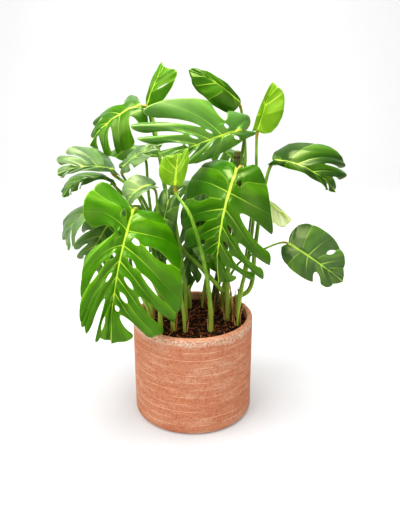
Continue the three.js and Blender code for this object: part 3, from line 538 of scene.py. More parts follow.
def living_leaf(tree, shader, leaf, upper):
    """A living leaf: a thin waxy skin over soft green, smooth and half glossy, with paler raised veins."""
    to_vein, to_midrib, to_edge = kept_xyz(tree, "leaf_mm")
    age, along, to_second = kept_xyz(tree, "growth")
    painted_light = add(tree, "ShaderNodeAttribute", {"attribute_name": "painted_light"}).outputs["Fac"]
    weave = add(tree, "ShaderNodeUVMap", {"uv_map": "blade"}).outputs[0]
    streaks = noise(tree, weave, 0.03, 3, 0.6, squeeze=(1, 0.08, 1))
    clouds = noise(tree, object_place(tree), 0.03, 1)
    # From young yellow-green to old dark green; on leaves in shade the darker green is partly painted shade.
    colour = blend(tree, fade(tree, age, 0.0, 0.45), leaf.young, leaf.bright)
    colour = blend(tree, fade(tree, age, 0.45, 1.0), colour, leaf.dark)
    if not upper:
        pale = blend(tree, fade(tree, age, 0.0, 0.45), "#e2eeb4", leaf.underside)
        colour = blend(tree, 0.65, colour, pale)
    cloudy = product(tree, fade(tree, clouds, 0.35, 0.7, 0, 0.6), fade(tree, age, 0.1, 0.4))
    colour = blend(tree, cloudy, colour, blend(tree, 0.4, colour, "#0f4a00"))
    colour = blend(tree, fade(tree, streaks, 0.42, 0.62, 0, 0.3), colour, "#8cc800")
    # Painted light: a pale painted sheen on older leaves, and near-white painted light shining through the
    # young underside.
    colour = blend(tree, painted_light, colour, blend(tree, fade(tree, age, 0, 0.4), "#fbffe2", leaf.painted_light))
    # A side vein is vein_width wide at the midrib, and thins to about a third of that at the edge.
    width = product(tree, fade(tree, along, 0.0, 1.0, 1.0, 0.35), leaf.vein_width / MM / 2)
    side_vein = fade(tree, maths(tree, "DIVIDE", to_vein, width), 0.55, 1.15, 1, 0)
    side_vein = product(tree, side_vein, fade(tree, along, 0.1, 0.95, 0.7 if upper else 0.5, 0.15))
    second = fade(tree, to_second, 0.25, 0.7, 0.3, 0)
    midrib = fade(tree, to_midrib, 1.2, 2.4, 1, 0)
    vein = maths(tree, "MAXIMUM", maths(tree, "MAXIMUM", side_vein, second), midrib)
    vein_colour = blend(tree, fade(tree, age, 0.5, 1.0, 0.0, 0.55), leaf.vein, "#8fae5c")
    colour = blend(tree, vein, colour, vein_colour)
    # Paler towards every edge: a painted highlight along the edges.
    colour = blend(tree, fade(tree, to_edge, 0.2, 0.8, 0.3, 0), colour, "#b9d46a")
    raised = maths(tree, "ADD", product(tree, streaks, 0.7), product(tree, vein, 0.25))
    finish(
        tree, shader, colour, 0.32 if upper else 0.55, raised, 0.35, 0.0012,
        IOR=1.5, Specular_IOR_Level=0.8, Specular_Tint=(0.95, 1.0, 0.45, 1.0),
        Subsurface_Weight=0.5, Subsurface_Radius=(0.6, 1.0, 0.2), Subsurface_Scale=0.002,
    )


def fleshy_stalk(tree, shader, stalk):
    """A leaf stalk: smooth, faintly waxy and streaked along its length, pale at the foot, tan at the knee.
    The pale foot is partly painted light against the shade of the leaves.
    """
    place = object_place(tree)
    up, left, _ = kept_xyz(tree, "stalk_mm")
    streaks = noise(tree, place, 0.003, 3, squeeze=(1, 1, 0.12))
    colour = blend(tree, fade(tree, streaks, 0.35, 0.7), stalk.green, "#9ab848")
    colour = blend(tree, fade(tree, noise(tree, place, 0.04, 3), 0.4, 0.7, 0, 0.6), colour, "#4f7a1c")
    # Paler towards the foot, partly as painted light where the leaves shade the stalks.
    colour = blend(tree, fade(tree, up, 26, 150, 0.85, 0), colour, "#b6c860")
    spots = noise(tree, place, 0.0035, 3, 0.6)
    colour = blend(tree, fade(tree, spots, 0.66, 0.74, 0, 0.7), colour, "#8a6a35")
    knee = product(tree, fade(tree, left, 8, 14), fade(tree, left, 22, 32, 1, 0), 0.75)
    colour = blend(tree, knee, colour, stalk.knee)
    finish(tree, shader, colour, 0.45, streaks, 0.4, 0.0006, IOR=1.45)


def cane_bark(tree, shader, stalk):
    """The skin of an old cane: green under thin brown cork, ringed where leaves have dropped."""
    up = kept_xyz(tree, "stalk_mm")[0]
    cork = noise(tree, object_place(tree), 0.012, 5, 0.65, squeeze=(1, 1, 0.35))
    scar = fade(tree, off_middle(tree, up, CANE_RING), 0.02, 0.07, 1, 0)
    colour = blend(tree, fade(tree, cork, 0.42, 0.62), stalk.cane, "#7a5c3a")
    colour = blend(tree, scar, colour, "#4a3422")
    finish(tree, shader, colour, 0.75, cork, 0.8, 0.0015)


def dry_husk(tree, shader, stalk):
    """A dried leaf sheath or root: papery, brown and grooved along its fibres."""
    place = object_place(tree)
    fibres = noise(tree, place, 0.0025, 4, 0.6, squeeze=(1, 1, 0.1))
    colour = blend(tree, fade(tree, fibres, 0.35, 0.65), stalk.husk, "#d3a878")
    colour = blend(tree, fade(tree, noise(tree, place, 0.02, 3), 0.45, 0.65, 0, 0.7), colour, "#6b4022")
    finish(tree, shader, colour, 0.8, fibres, 0.9, 0.001)


def matt_paper(tree, shader):
    """A white paper sweep: flat and matt, so it only shows soft shade."""
    colour = blend(tree, noise(tree, object_place(tree), 0.4, 2), "#c0c0c0", "#bdbdbe")
    finish(
        tree, shader, colour, 1.0, Specular_IOR_Level=0.0,
        Emission_Color=linear("#ffffff"), Emission_Strength=0.13,
    )


# ---------------------------------------------------------------- leaves

def chance(seed, lobe, side):
    """A repeatable number from 0 to 1 for one lobe of one leaf."""
    x = math.sin(seed * 12.9898 + lobe * 78.233 + side * 37.719) * 43758.5453
    return x - math.floor(x)


def outline_at(u):
    """Points of the half outline at the places u."""
    u = np.asarray(u, float)
    i = np.minimum(np.floor(u), OUTLINE_END - 1).astype(int)
    t = (u - i)[..., None]
    a, b, c, d = (HALF_OUTLINE[np.clip(i + k, 0, OUTLINE_END)] for k in (-1, 0, 1, 2))
    return b + 0.5 * t * (c - a + t * (2 * a - 5 * b + 4 * c - d + t * (3 * (b - c) + d - a)))


LeafFrame = namedtuple("LeafFrame", "base start up right size")


def leaf_frame(frond):
    """Where the leaf starts, its directions there, and the length of its midrib, in millimetres."""
    base, tip = np.array(frond.base, float), np.array(frond.tip, float)
    chord = tip - base
    reach = np.linalg.norm(chord)
    along = chord / reach
    face = np.array(frond.face, float)
    face -= along * face.dot(along)
    face /= np.linalg.norm(face)
    half = math.radians(frond.bend) / 2
    start = along * math.cos(half) + face * math.sin(half)
    up = face * math.cos(half) - along * math.sin(half)
    return LeafFrame(base, start, up, np.cross(up, start), reach * half / math.sin(half))


def bend(frond, flat, lift):
    """Bends points of the flat leaf into place. Lift is how far each stands off it, in millimetres."""
    base, start, up, right, size = leaf_frame(frond)
    x, along = flat[:, 0], flat[:, 1]
    side = (x >= 0).astype(int)
    # The flare widens the blade beside the stalk, and the sweep draws its sides towards the tip.
    x = x * (1 + np.array(frond.flare)[side] * np.clip((0.15 - along) / 0.4, 0, 1))
    beyond = np.clip((along + 0.3) / 0.6, 0, 1)
    sweep = np.array(frond.sweep)[side] * (1.2 * np.abs(x) + 1.6 * x * x)
    y = np.where(along < 0, along * frond.heart, along) + sweep * beyond
    turn = math.radians(frond.bend) * y
    curl = math.radians(frond.bend) / size
    width = np.array(frond.width)[side]
    fold = np.radians(np.array(frond.fold, float))[side]
    droop = np.radians(np.array(frond.droop, float))[side] / (0.5 * size * width)
    # Each half is folded up along the midrib, and droops over towards its edge.
    out = np.abs(x) * size * width
    across = (np.sin(fold) - np.sin(fold - droop * out)) / droop * np.where(side, 1, -1)
    rise = (np.cos(fold - droop * out) - np.cos(fold)) / droop + lift
    normal = up * np.cos(turn)[:, None] + start * np.sin(turn)[:, None]
    return (
        base
        + start * (np.sin(turn) / curl)[:, None]
        - up * ((1 - np.cos(turn)) / curl)[:, None]
        + right * across[:, None]
        + normal * rise[:, None]
    )


Cut = namedtuple("Cut", "start split closed slot hole direction")


def cut_place(frond, k):
    """Where on the half outline cut k ends."""
    return LAST_CUT * (k / frond.lobes) ** FIRST_LOBE


def cut_of(frond, k, side):
    """One cut between two lobes: where it leaves the midrib, where it ends, and how it opens."""
    start = np.array([0, LAST_VEIN * (k / frond.lobes)])
    end = outline_at(cut_place(frond, k))
    deep = frond.split + SPLIT_SPREAD * (chance(frond.seed, k, side) - 0.5)
    return Cut(
        start, 0 if k == 0 else deep,
        k in frond.joined[side],
        k in frond.slots[side],
        k > 0 and frond.holes > chance(frond.seed + 9, k, side),
        (end - start) / np.linalg.norm(end - start),
    )


def past_split(row):
    """How far along the cuts a row is, from where they start (0) to the edge of the leaf (1)."""
    return np.clip((row - SPLIT_AT) / (1 - SPLIT_AT), 0, 1)


def opening(frond, cut, row):
    """Half the opening of a cut at each row, in shares of the leaf's length."""
    if cut.closed:
        slot = np.clip((row - SPLIT_AT) / (SLOT_END - SPLIT_AT), 0, 1)
        open_width = SLOT_SHARE * frond.gap * np.sin(np.pi * slot) ** 0.7 if cut.slot else 0 * row
    else:
        open_width = frond.gap * (1 - (1 - past_split(row)) ** 2.5) ** 0.6
    if cut.hole:
        share = np.clip((row - HOLE_FROM) / (HOLE_TO - HOLE_FROM), 0, 1)
        open_width = open_width + HOLE_HALF * np.sin(np.pi * share) ** 0.6
    return np.where(np.abs(open_width) < 1e-9, 0, open_width)


def left_of(direction):
    """A direction of the flat leaf turned a quarter to the left."""
    return [-direction[1], direction[0]]


class Lobe:
    """One lobe of a leaf, as a grid of points with ROWS and COLUMNS. Side 0 is the left half of the leaf."""

    def __init__(self, frond, k, side):
        self.frond, self.k, self.side = frond, k, side
        self.first, self.last = k == 0, k == frond.lobes
        self.size = leaf_frame(frond).size
        self.near = cut_of(frond, k, side)
        self.far = self.near._replace(closed=True) if self.last else cut_of(frond, k + 1, side)
        self.t, self.row = (each.ravel() for each in np.meshgrid(COLUMNS, ROWS))
        self.to_near, self.to_far = np.clip(-self.t, 0, 1), np.clip(self.t, 0, 1)
        self.past = past_split(self.row)
        u_near = cut_place(frond, k)
        u_far = OUTLINE_END if self.last else cut_place(frond, k + 1)
        u_vein = u_near + (u_far - u_near) * VEIN_ASIDE
        self.wide = self.by_side(u_vein - u_near, u_far - u_vein)
        self.u = u_vein + self.t * self.wide
        self.start = self.mixed(self.near.start, self.far.start)
        self.away = self.edge() - self.start
        self.long = np.linalg.norm(self.away, axis=1)
        self.flat = self.flat_points()

    def mixed(self, near, far):
        """A value that the two cuts have, mixed over the lobe."""
        over_vein = 1 - self.to_near - self.to_far
        outer = np.multiply.outer
        return outer(over_vein, (near + far) / 2) + outer(self.to_near, near) + outer(self.to_far, far)

    def by_side(self, near, far):
        """One value on the near half of the lobe, and another on the far half."""
        return np.where(self.t < 0, near, far)

    def luck(self, which):
        """A repeatable number from 0 to 1 for this lobe."""
        return chance(self.frond.seed + which, self.k, self.side)

    def edge(self):
        """Where each column ends: on the outline, or a little past it in the middle of the lobe."""
        reach = TIP_REACH if self.last else LOBE_REACH + REACH_SPREAD * (self.luck(2) - 0.5)
        return outline_at(self.u) * (1 + (reach - 1) * (1 - self.t * self.t))[:, None]

    def flat_points(self):
        """The points of the flat lobe, in shares of the leaf's length."""
        split = self.mixed(self.near.split, self.far.split)
        # The end of a lobe is rounded off at its corners.
        blunt_near = 0.0 if self.first else BLUNT_JOINED if self.near.closed else BLUNT_OPEN
        blunt_far = 0.0 if self.last else BLUNT_JOINED if self.far.closed else BLUNT_OPEN
        corner = 1 - (1 - np.abs(self.t) ** CORNER) ** (1 / CORNER)
        reached = self.row - np.where(self.t < 0, blunt_near, blunt_far) * corner * self.past ** 2
        s = np.where(
            reached < SPLIT_AT,
            reached * split / SPLIT_AT,
            split + (reached - SPLIT_AT) * (1 - split) / (1 - SPLIT_AT),
        )
        if self.first:
            s = s * (1 - self.to_near) + self.row * self.to_near
        if self.last:
            s = s * (1 - self.to_far) + self.row * self.to_far
        bow = BOW * s * (1 - s) * (1 - self.to_far if self.last else 1)
        aside = np.stack([self.away[:, 1], -self.away[:, 0]], 1)
        flat = self.start + self.away * s[:, None] + aside * bow[:, None]
        # Both edges draw back from their cuts.
        if not self.first:
            width = opening(self.frond, self.near, reached) * self.to_near
            flat = flat + np.outer(width, left_of(self.near.direction))
        if not self.last:
            width = opening(self.frond, self.far, reached) * self.to_far
            flat = flat - np.outer(width, left_of(self.far.direction))
        return flat

    def lift(self, puff, wave):
        """How far each point stands off the flat leaf: a lobe sags at its end, and swells between veins."""
        across = np.abs(self.t)
        free = 1 - self.to_far if self.last else 1
        held = np.where(
            (self.near.closed & (self.t < 0)) | (bool(self.far.closed and not self.last) & (self.t > 0)),
            1 - across, 1)
        # One lobe sags from 0.3 to 1.7 times as far as the leaf's lobes do on average.
        sag = self.frond.sag * (0.3 + 1.4 * self.luck(7))
        lift = -sag * self.past ** 1.5 * free * held * self.size
        crest = np.sin(np.pi * across / 2) ** 2
        low_crest = np.sin(np.pi * self.t) ** 2 * 0.6
        if self.last:
            crest = np.where(self.t > 0, low_crest, crest)
        if self.first:
            crest = np.where(self.t < 0, low_crest, crest)
        lift += puff * crest * np.clip(self.row / 0.12, 0, 1) * (1 - self.past)
        lift -= 1.6 * puff * (crest if self.last else self.t * self.t) * self.past * free
        # The edge waves, out of step from one leaf and side to the next.
        phase = 5.3 * self.u + 2.4 * self.frond.seed + 1.7 * self.side
        lift += wave * (2 * np.abs(self.flat[:, 0])) ** 1.5 * np.sin(phase)
        return lift

    def marks(self):
        """What the material reads: millimetres to vein, midrib and edge, the row, and to the second vein."""
        across = np.abs(self.t)
        spread = self.spread()
        to_vein = across * spread
        # The midrib thins out towards the tip.
        to_midrib = np.abs(self.flat[:, 0]) * self.size / (1.7 - 1.3 * np.clip(self.flat[:, 1], 0, 1))
        is_open = self.by_side(not (self.near.closed or self.first), not self.far.closed)
        to_side = np.where(is_open & (self.row > SPLIT_AT), (1 - across) * spread, FAR_OFF)
        to_edge = np.minimum((1 - self.row) * self.long * self.size * 0.5, to_side)
        # A thin second vein runs where two lobes are joined.
        is_joined = self.by_side(self.near.closed, self.far.closed and not self.last)
        to_second = np.where(is_joined, (1 - across) * spread, FAR_OFF) + FAR_OFF * (self.row < 0.1)
        return np.stack([to_vein, to_midrib, to_edge, self.row, to_second], 1)

    def spread(self):
        """About how wide half the lobe is at each point, in millimetres."""
        return self.wide * LOBE_WIDTH * self.size * (0.35 + 0.65 * self.row)

    def weave(self):
        """A place on the lobe in metres, across and along its vein."""
        return np.stack([self.t * self.spread(), self.row * self.long * self.size], 1) / 1000

    def sided(self):
        """The flat points on their own half of the leaf."""
        return self.flat if self.side else self.flat * [-1, 1]


def grid_faces(rows, columns, turned):
    """Four corners of every cell of a grid of points."""
    index = np.arange(rows * columns).reshape(rows, columns)
    quads = np.stack([index[:-1, :-1], index[1:, :-1], index[1:, 1:], index[:-1, 1:]], -1).reshape(-1, 4)
    return quads[:, ::-1] if turned else quads


def leaf_sheet(frond, leaf):
    """The middle of the leaf's thickness: its points and marks, its faces, and their weaves and normals."""
    share = min(1, leaf_frame(frond).size / FULL_SIZE) ** 1.5
    puff, wave = share * leaf.puff / MM, share * leaf.wave / MM
    lobes = [Lobe(frond, k, side) for side in (0, 1) for k in range(frond.lobes + 1)]
    flat = np.concatenate([each.sided() for each in lobes])
    points = bend(frond, flat, np.concatenate([each.lift(puff, wave) for each in lobes]))
    cells = len(ROWS) * len(COLUMNS)
    quads = np.concatenate([
        grid_faces(len(ROWS), len(COLUMNS), each.side == 1) + n * cells for n, each in enumerate(lobes)
    ])
    # Points that meet, at the cuts and along the midrib, become one.
    keys = np.round(points / MEETING).astype(np.int64)
    _, first, merged = np.unique(keys, axis=0, return_index=True, return_inverse=True)
    points = points[first]
    marks = np.concatenate([each.marks() for each in lobes])[first]
    weaves = np.concatenate([each.weave() for each in lobes])[quads]
    faces = merged.ravel()[quads]
    across = points[faces[:, 2]] - points[faces[:, 0]]
    normal = np.cross(across, points[faces[:, 3]] - points[faces[:, 1]])
    keep = np.linalg.norm(normal, axis=1) > 1e-5
    return points, marks, faces[keep], weaves[keep], normal[keep]


def point_normals(points, faces, normal):
    """The direction that each point faces, weighted by the area of its faces."""
    normals = np.zeros_like(points)
    for corner in range(4):
        np.add.at(normals, faces[:, corner], normal)
    return normals / np.maximum(np.linalg.norm(normals, axis=1), 1e-9)[:, None]


def open_edges(faces):
    """Every edge that has a face on one side only, with that face."""
    edges = {}
    for n, face in enumerate(faces):
        for a in range(4):
            p, q = int(face[a]), int(face[(a + 1) % 4])
            if p != q:
                edges[(p, q)] = n
    return [(p, q, n) for (p, q), n in edges.items() if (q, p) not in edges]


def smooth_mesh(name, points, faces):
    """A mesh with smooth faces."""
    mesh = bpy.data.meshes.new(name)
    mesh.from_pydata(points, [], faces)
    mesh.polygons.foreach_set("use_smooth", [True] * len(mesh.polygons))
    return mesh


def leaf_mesh(frond, leaf):
    """The whole leaf as a closed thin shell, with the midrib and the side veins as ribs on its underside."""
    points, marks, faces, weaves, normal = leaf_sheet(frond, leaf)
    normals = point_normals(points, faces, normal)
    half = leaf.thickness / MM / 2
    # A rib is highest where it starts. The top shows a quarter of the midrib, and the underside all of it.
    stalk_share = 1 - np.clip(np.linalg.norm(points - frond.base, axis=1) / leaf_frame(frond).size, 0, 1)
    midrib = np.exp(-((marks[:, 1] / (0.7 + 1.6 * stalk_share)) ** 2))
    midrib = (MIDRIB_LEAST + MIDRIB_MORE * stalk_share) * midrib
    veins = VEIN_HIGH * np.exp(-((marks[:, 0] / VEIN_HALF) ** 2)) * (1 - marks[:, 3])
    top = points + normals * (half + 0.25 * midrib)[:, None]
    bottom = points - normals * (half + midrib + veins)[:, None]

    count = len(points)
    rim = open_edges(faces)
    # Each corner keeps its own place on its lobe, because two lobes meet at the same points.
    placed = [{int(v): place for v, place in zip(face, weave)} for face, weave in zip(faces, weaves)]
    over = [list(corners) for corners in placed]
    under = [[v + count for v in reversed(corners)] for corners in over]
    sides = [[q, p, p + count, q + count] for p, q, _ in rim]
    mesh = smooth_mesh("leaf_" + frond.name, np.concatenate([top, bottom]) * MM, over + under + sides)
    mesh.polygons.foreach_set("material_index", [0] * len(over) + [1] * len(under) + [0] * len(sides))

    uv = [place for corners in placed for place in corners.values()]
    uv += [place for corners in placed for place in reversed(corners.values())]
    uv += [placed[n][v] for p, q, n in rim for v in (q, p, p, q)]
    mesh.uv_layers.new(name="blade").data.foreach_set("uv", np.array(uv).ravel())
    both = np.concatenate([marks, marks])
    age, painted_light = TONES[frond.tone]
    growth = np.stack([np.full(len(both), age), both[:, 3], both[:, 4]], 1)
    for name, values in (("leaf_mm", both[:, :3]), ("growth", growth)):
        mesh.attributes.new(name, "FLOAT_VECTOR", "POINT").data.foreach_set("vector", values.ravel())
    # Each leaf's share of painted sheen, from its tone.
    mesh.attributes.new("painted_light", "FLOAT", "POINT").data.foreach_set("value", np.full(len(both), painted_light))
    mesh.validate()
    return mesh


# ---------------------------------------------------------------- shapes

def smooth_line(points, least, step=None):
    """Evenly spaced points on a smooth centripetal curve, at least so many, and the length of the curve."""
    p = [np.array(q, float) for q in points]
    p = [2 * p[0] - p[1]] + p + [2 * p[-1] - p[-2]]
    made = []
    for a, b, c, d in zip(p, p[1:], p[2:], p[3:]):
        d0, d1, d2 = (math.sqrt(np.linalg.norm(y - x)) for x, y in ((a, b), (b, c), (c, d)))
        m1 = ((b - a) / d0 - (c - a) / (d0 + d1) + (c - b) / d1) * d1
        m2 = ((c - b) / d1 - (d - b) / (d1 + d2) + (d - c) / d2) * d1
        for t in np.linspace(0, 1, 60, endpoint=False):
            made.append(b + t * m1 + t * t * (3 * (c - b) - 2 * m1 - m2) + t ** 3 * (2 * (b - c) + m1 + m2))
    made.append(p[-2])
    made = np.array(made)
    gone = np.concatenate([[0], np.cumsum(np.linalg.norm(np.diff(made, axis=0), axis=1))])
    even = np.linspace(0, gone[-1], max(least, int(gone[-1] / step)) if step else least)
    return np.stack([np.interp(even, gone, made[:, n]) for n in range(3)], 1), gone[-1]


def stem_line(root, points):
    """The line of a stem, straight up out of the soil and then through its points."""
    x, y = root
    return [(x, y, SOIL_TOP - ROOT_DEPTH), (x, y, SOIL_TOP + UPRIGHT)] + list(points)


def stalk_line(frond):
    """The line of a leaf stalk, which passes behind the foot of its blade and ends inside it."""
    base, start, up, _, _ = leaf_frame(frond)
    under = base - KNEE_BACK * start - KNEE_DROP * up
    inside = base + INTO_BLADE * start - 0.18 * frond.stout * up
    return stem_line(frond.root, list(frond.via) + [under, inside])


def husk_line(root, number):
    """A dry husk that stands beside a stalk and leans away from it."""
    turn = 2 * math.pi * chance(number, 1, 0)
    away = np.array([math.cos(turn), math.sin(turn), 0])
    height = HUSK_LEAST + HUSK_SPREAD * chance(number, 2, 0)
    foot = np.array([*root, SOIL_TOP - HUSK_DEPTH]) + away * HUSK_BESIDE
    middle = foot + away * 2 + [0, 0, HUSK_DEPTH + height / 2]
    top = foot + away * HUSK_LEAN * chance(number, 3, 0) + [2, 0, HUSK_DEPTH + height]
    return [foot, middle, top]


def linked(name, data):
    """A new object at the origin, in the scene."""
    thing = bpy.data.objects.new(name, data)
    bpy.context.scene.collection.objects.link(thing)
    return thing


def new_piece(name, points, faces, *materials):
    """A smooth mesh object."""
    mesh = smooth_mesh(name, points, faces)
    for each in materials:
        mesh.materials.append(each)
    mesh.validate()
    return linked(name, mesh)


def ready(piece, slot, *nodes):
    """Puts a finished piece on the plant's body, in the place of its CAD nodes."""
    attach(piece, "root")
    if nodes:
        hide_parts(*nodes)


def curve_object(name, points, radii):
    """A curve of one open line, with a radius at each point."""
    curve = bpy.data.curves.new(name, "CURVE")
    curve.dimensions = "3D"
    line = curve.splines.new("POLY")
    line.points.add(len(points) - 1)
    line.points.foreach_set("co", np.concatenate([points * MM, np.ones((len(points), 1))], 1).ravel())
    line.points.foreach_set("radius", radii * MM)
    return linked(name, curve)


def lathe(profile, sides):
    """A closed turned mesh. The profile starts and ends on the axis."""
    ring = profile[1:-1]
    turn = np.linspace(0, 2 * math.pi, sides, endpoint=False)
    points = [(r * math.cos(a), r * math.sin(a), z) for r, z in ring for a in turn]
    first, last = len(points), len(points) + 1
    points += [(0, 0, profile[0][1]), (0, 0, profile[-1][1])]
    faces = []
    for i in range(len(ring) - 1):
        for j in range(sides):
            a, b = i * sides + j, i * sides + (j + 1) % sides
            faces.append((a, b, b + sides, a + sides))
    top = (len(ring) - 1) * sides
    for j in range(sides):
        faces.append((first, (j + 1) % sides, j))
        faces.append((last, top + j, top + (j + 1) % sides))
    return np.array(points), faces


def arc(x, z, r, begin, end, steps):
    """Points on an arc from one angle to another, in degrees."""
    angles = np.radians(np.linspace(begin, end, steps + 1))
    return [(x + r * math.cos(a), z + r * math.sin(a)) for a in angles]


def pot_profile(pot):
    """Half a cut through the pot, from the middle of its foot up the outside and down the inside."""
    r, h, inside = pot.radius, pot.height, pot.radius - pot.wall
    foot, rim = pot.foot_rounding, pot.rim_rounding
    profile = [(0, 0)]
    profile += [(x, 0) for x in np.linspace(0.02, r - foot - 0.002, 6)]
    profile += arc(r - foot, foot, foot, -90, 0, 8)
    profile += [(r, z) for z in np.linspace(foot, h - rim, 42)[1:-1]]
    profile += arc(r - rim, h - rim, rim, 0, 90, 7)
    profile += arc(inside + INNER_RIM, h - INNER_RIM, INNER_RIM, 90, 180, 4)
    profile += [(inside, z) for z in np.linspace(h - 2 * INNER_RIM, pot.floor + INNER_FOOT, 20)]
    profile += arc(inside - INNER_FOOT, pot.floor + INNER_FOOT, INNER_FOOT, 0, -90, 3)
    return profile + [(0.03, pot.floor), (0, pot.floor)]


def soil_height(x, y):
    """Height of the soil in metres: a low mound with lumps and crumbs."""
    far = np.clip(np.hypot(x, y) / (POT_HIGH[0] - POT_WALL), 0, 1)
    x, y = x / MM, y / MM
    lumps = 1.6 * np.sin(x * 0.13 + 1.1) * np.cos(y * 0.11) + 1.1 * np.sin(x * 0.07 - y * 0.19)
    crumbs = 0.7 * np.sin(x * 0.61 + 2 * np.sin(y * 0.23)) * np.sin(y * 0.57 + 2 * np.sin(x * 0.31))
    crumbs = crumbs + 0.45 * np.sin(x * 1.37 + 3 * np.sin(y * 0.71)) * np.sin(y * 1.53 + 3 * np.sin(x * 0.83))
    return (SOIL_TOP - 3 * far * far + (lumps + crumbs) * (1 - far ** 4)) * MM


# ---------------------------------------------------------------- geometry trees

def new_tree(name, **sockets):
    """A geometry tree with the named inputs, and its input node's outputs."""
    tree = bpy.data.node_groups.new(name, "GeometryNodeTree")
    for title, kind in {"Geometry": "Geometry", **sockets}.items():
        tree.interface.new_socket(name=title, in_out="INPUT", socket_type="NodeSocket" + kind)
    tree.interface.new_socket(name="Geometry", in_out="OUTPUT", socket_type="NodeSocketGeometry")
    return tree, add(tree, "NodeGroupInput").outputs


def finish_tree(tree, geometry, material_socket):
    """Ends a tree: real geometry with its material."""
    real = add(tree, "GeometryNodeRealizeInstances", Geometry=geometry)
    smooth = add(tree, "GeometryNodeSetShadeSmooth", Geometry=real.outputs[0])
    painted = add(tree, "GeometryNodeSetMaterial", Geometry=smooth.outputs[0], Material=material_socket)
    add(tree, "NodeGroupOutput", Geometry=painted.outputs[0])


def stem_tree():
    """A tube along a curve, which knows how many millimetres each point is from its foot and from its end."""
    tree, given = new_tree("stem", Sides="Int", Material="Material")
    gone = add(tree, "GeometryNodeSplineParameter").outputs["Length"]
    left = maths(tree, "SUBTRACT", add(tree, "GeometryNodeSplineLength").outputs["Length"], gone)
    marks = add(tree, "ShaderNodeCombineXYZ", X=product(tree, gone, 1000), Y=product(tree, left, 1000))
    kept = add(
        tree, "GeometryNodeStoreNamedAttribute", {"data_type": "FLOAT_VECTOR", "domain": "POINT"},
        Geometry=given["Geometry"], Name="stalk_mm", Value=marks.outputs[0],
    )
    ring = add(tree, "GeometryNodeCurvePrimitiveCircle", Resolution=given["Sides"], Radius=1.0)
    radius = add(tree, "GeometryNodeInputRadius").outputs[0]
    tube = add(
        tree, "GeometryNodeCurveToMesh",
        Curve=kept.outputs[0], Profile_Curve=ring.outputs[0], Scale=radius, Fill_Caps=True,
    )
    finish_tree(tree, tube.outputs[0], given["Material"])
    return tree


def crumb(tree):
    """A round crumb one unit across."""
    return add(tree, "GeometryNodeMeshIcoSphere", Radius=0.5, Subdivisions=1).outputs[0]


def chip(tree):
    """A crooked chip one unit long."""
    stick = add(
        tree, "GeometryNodeMeshCube",
        Size=(1.0, 0.16, 0.07), Vertices_X=4, Vertices_Y=2, Vertices_Z=2,
    ).outputs[0]
    wander = add(tree, "ShaderNodeTexNoise", Scale=1.7).outputs["Color"]
    offset = add(tree, "ShaderNodeVectorMath", {"operation": "SCALE"}, {0: wander}, Scale=0.18)
    return add(tree, "GeometryNodeSetPosition", Geometry=stick, Offset=offset.outputs[0]).outputs[0]


def above(tree, value, limit):
    """Whether a value is above a limit."""
    return add(tree, "FunctionNodeCompare", {"operation": "GREATER_THAN"}, A=value, B=limit).outputs[0]


def random_vector(tree, low, high, seed):
    """A random vector for each bit."""
    return add(
        tree, "FunctionNodeRandomValue", {"data_type": "FLOAT_VECTOR"}, {0: low, 1: high}, Seed=seed,
    ).outputs[0]


def scatter_tree(name, bit, low, high, tilt):
    """Lays bits over the top of the soil, sized from low to high shares of Size and turned up to tilt."""
    tree, given = new_tree(name, Count="Int", Size="Float", Seed="Int", Material="Material")
    # Bits lie only near the top of the soil, and on faces that look up.
    upward = split_xyz(tree, add(tree, "GeometryNodeInputNormal").outputs[0])[2]
    height = split_xyz(tree, add(tree, "GeometryNodeInputPosition").outputs[0])[2]
    on_top = above(tree, height, SOIL_TOP * MM - BITS_BELOW)
    both = add(
        tree, "FunctionNodeBooleanMath", {"operation": "AND"}, {0: on_top, 1: above(tree, upward, LOOKS_UP)},
    ).outputs[0]
    area = math.pi * (POT_HIGH[0] - BITS_EDGE) ** 2
    spots = add(
        tree, "GeometryNodeDistributePointsOnFaces", Mesh=given["Geometry"], Selection=both,
        Density=maths(tree, "DIVIDE", given["Count"], area), Seed=given["Seed"],
    )
    share = random_vector(tree, low, high, 3)
    scale = add(tree, "ShaderNodeVectorMath", {"operation": "SCALE"}, {0: share}, Scale=given["Size"])
    laid = add(
        tree, "GeometryNodeInstanceOnPoints", Points=spots.outputs[0], Instance=bit(tree),
        Rotation=random_vector(tree, [-v for v in tilt], tilt, 11), Scale=scale.outputs[0],
    )
    finish_tree(tree, laid.outputs[0], given["Material"])
    return tree


def grown(source, tree, name, **inputs):
    """The mesh that a tree makes of an object, as a piece of its own."""
    modifier = source.modifiers.new(tree.name, "NODES")
    modifier.node_group = tree
    for item in tree.interface.items_tree:
        key = item.name.lower()
        if item.in_out == "INPUT" and key in inputs:
            modifier[item.identifier] = inputs[key]
    evaluated = source.evaluated_get(bpy.context.evaluated_depsgraph_get())
    mesh = bpy.data.meshes.new_from_object(evaluated)
    source.modifiers.remove(modifier)
    mesh.name = name
    return linked(name, mesh)


def grown_stem(name, points, radii, sides, skin):
    """A stem along its points, as a piece of its own."""
    line = curve_object("line", points, radii)
    piece = grown(line, bpy.data.node_groups.get("stem") or stem_tree(), name, sides=sides, material=skin)
    bpy.data.objects.remove(line)
    return piece


# ---------------------------------------------------------------- operators

class MONSTERA_OT_pot(bpy.types.Operator):
    """Turn the terracotta pot"""
    bl_idname = "monstera.pot"
    bl_label = "Pot"

    def execute(self, context):
        pot = context.scene.monstera_pot
        points, faces = lathe(pot_profile(pot), POT_SIDES)
        # The wall is uneven by a few tenths of a millimetre, inwards only.
        angle = np.arctan2(points[:, 1], points[:, 0])
        uneven = 1 - 0.0016 * (1 + np.sin(3 * angle + 30 * points[:, 2]) * np.sin(17 * points[:, 2] + 1)) / 2
        points[:, :2] *= uneven[:, None]
        piece = new_piece("clay_pot", points, faces, material("fired_terracotta", fired_terracotta, pot))
        ready(piece, "terracotta", "pot")
        return {"FINISHED"}


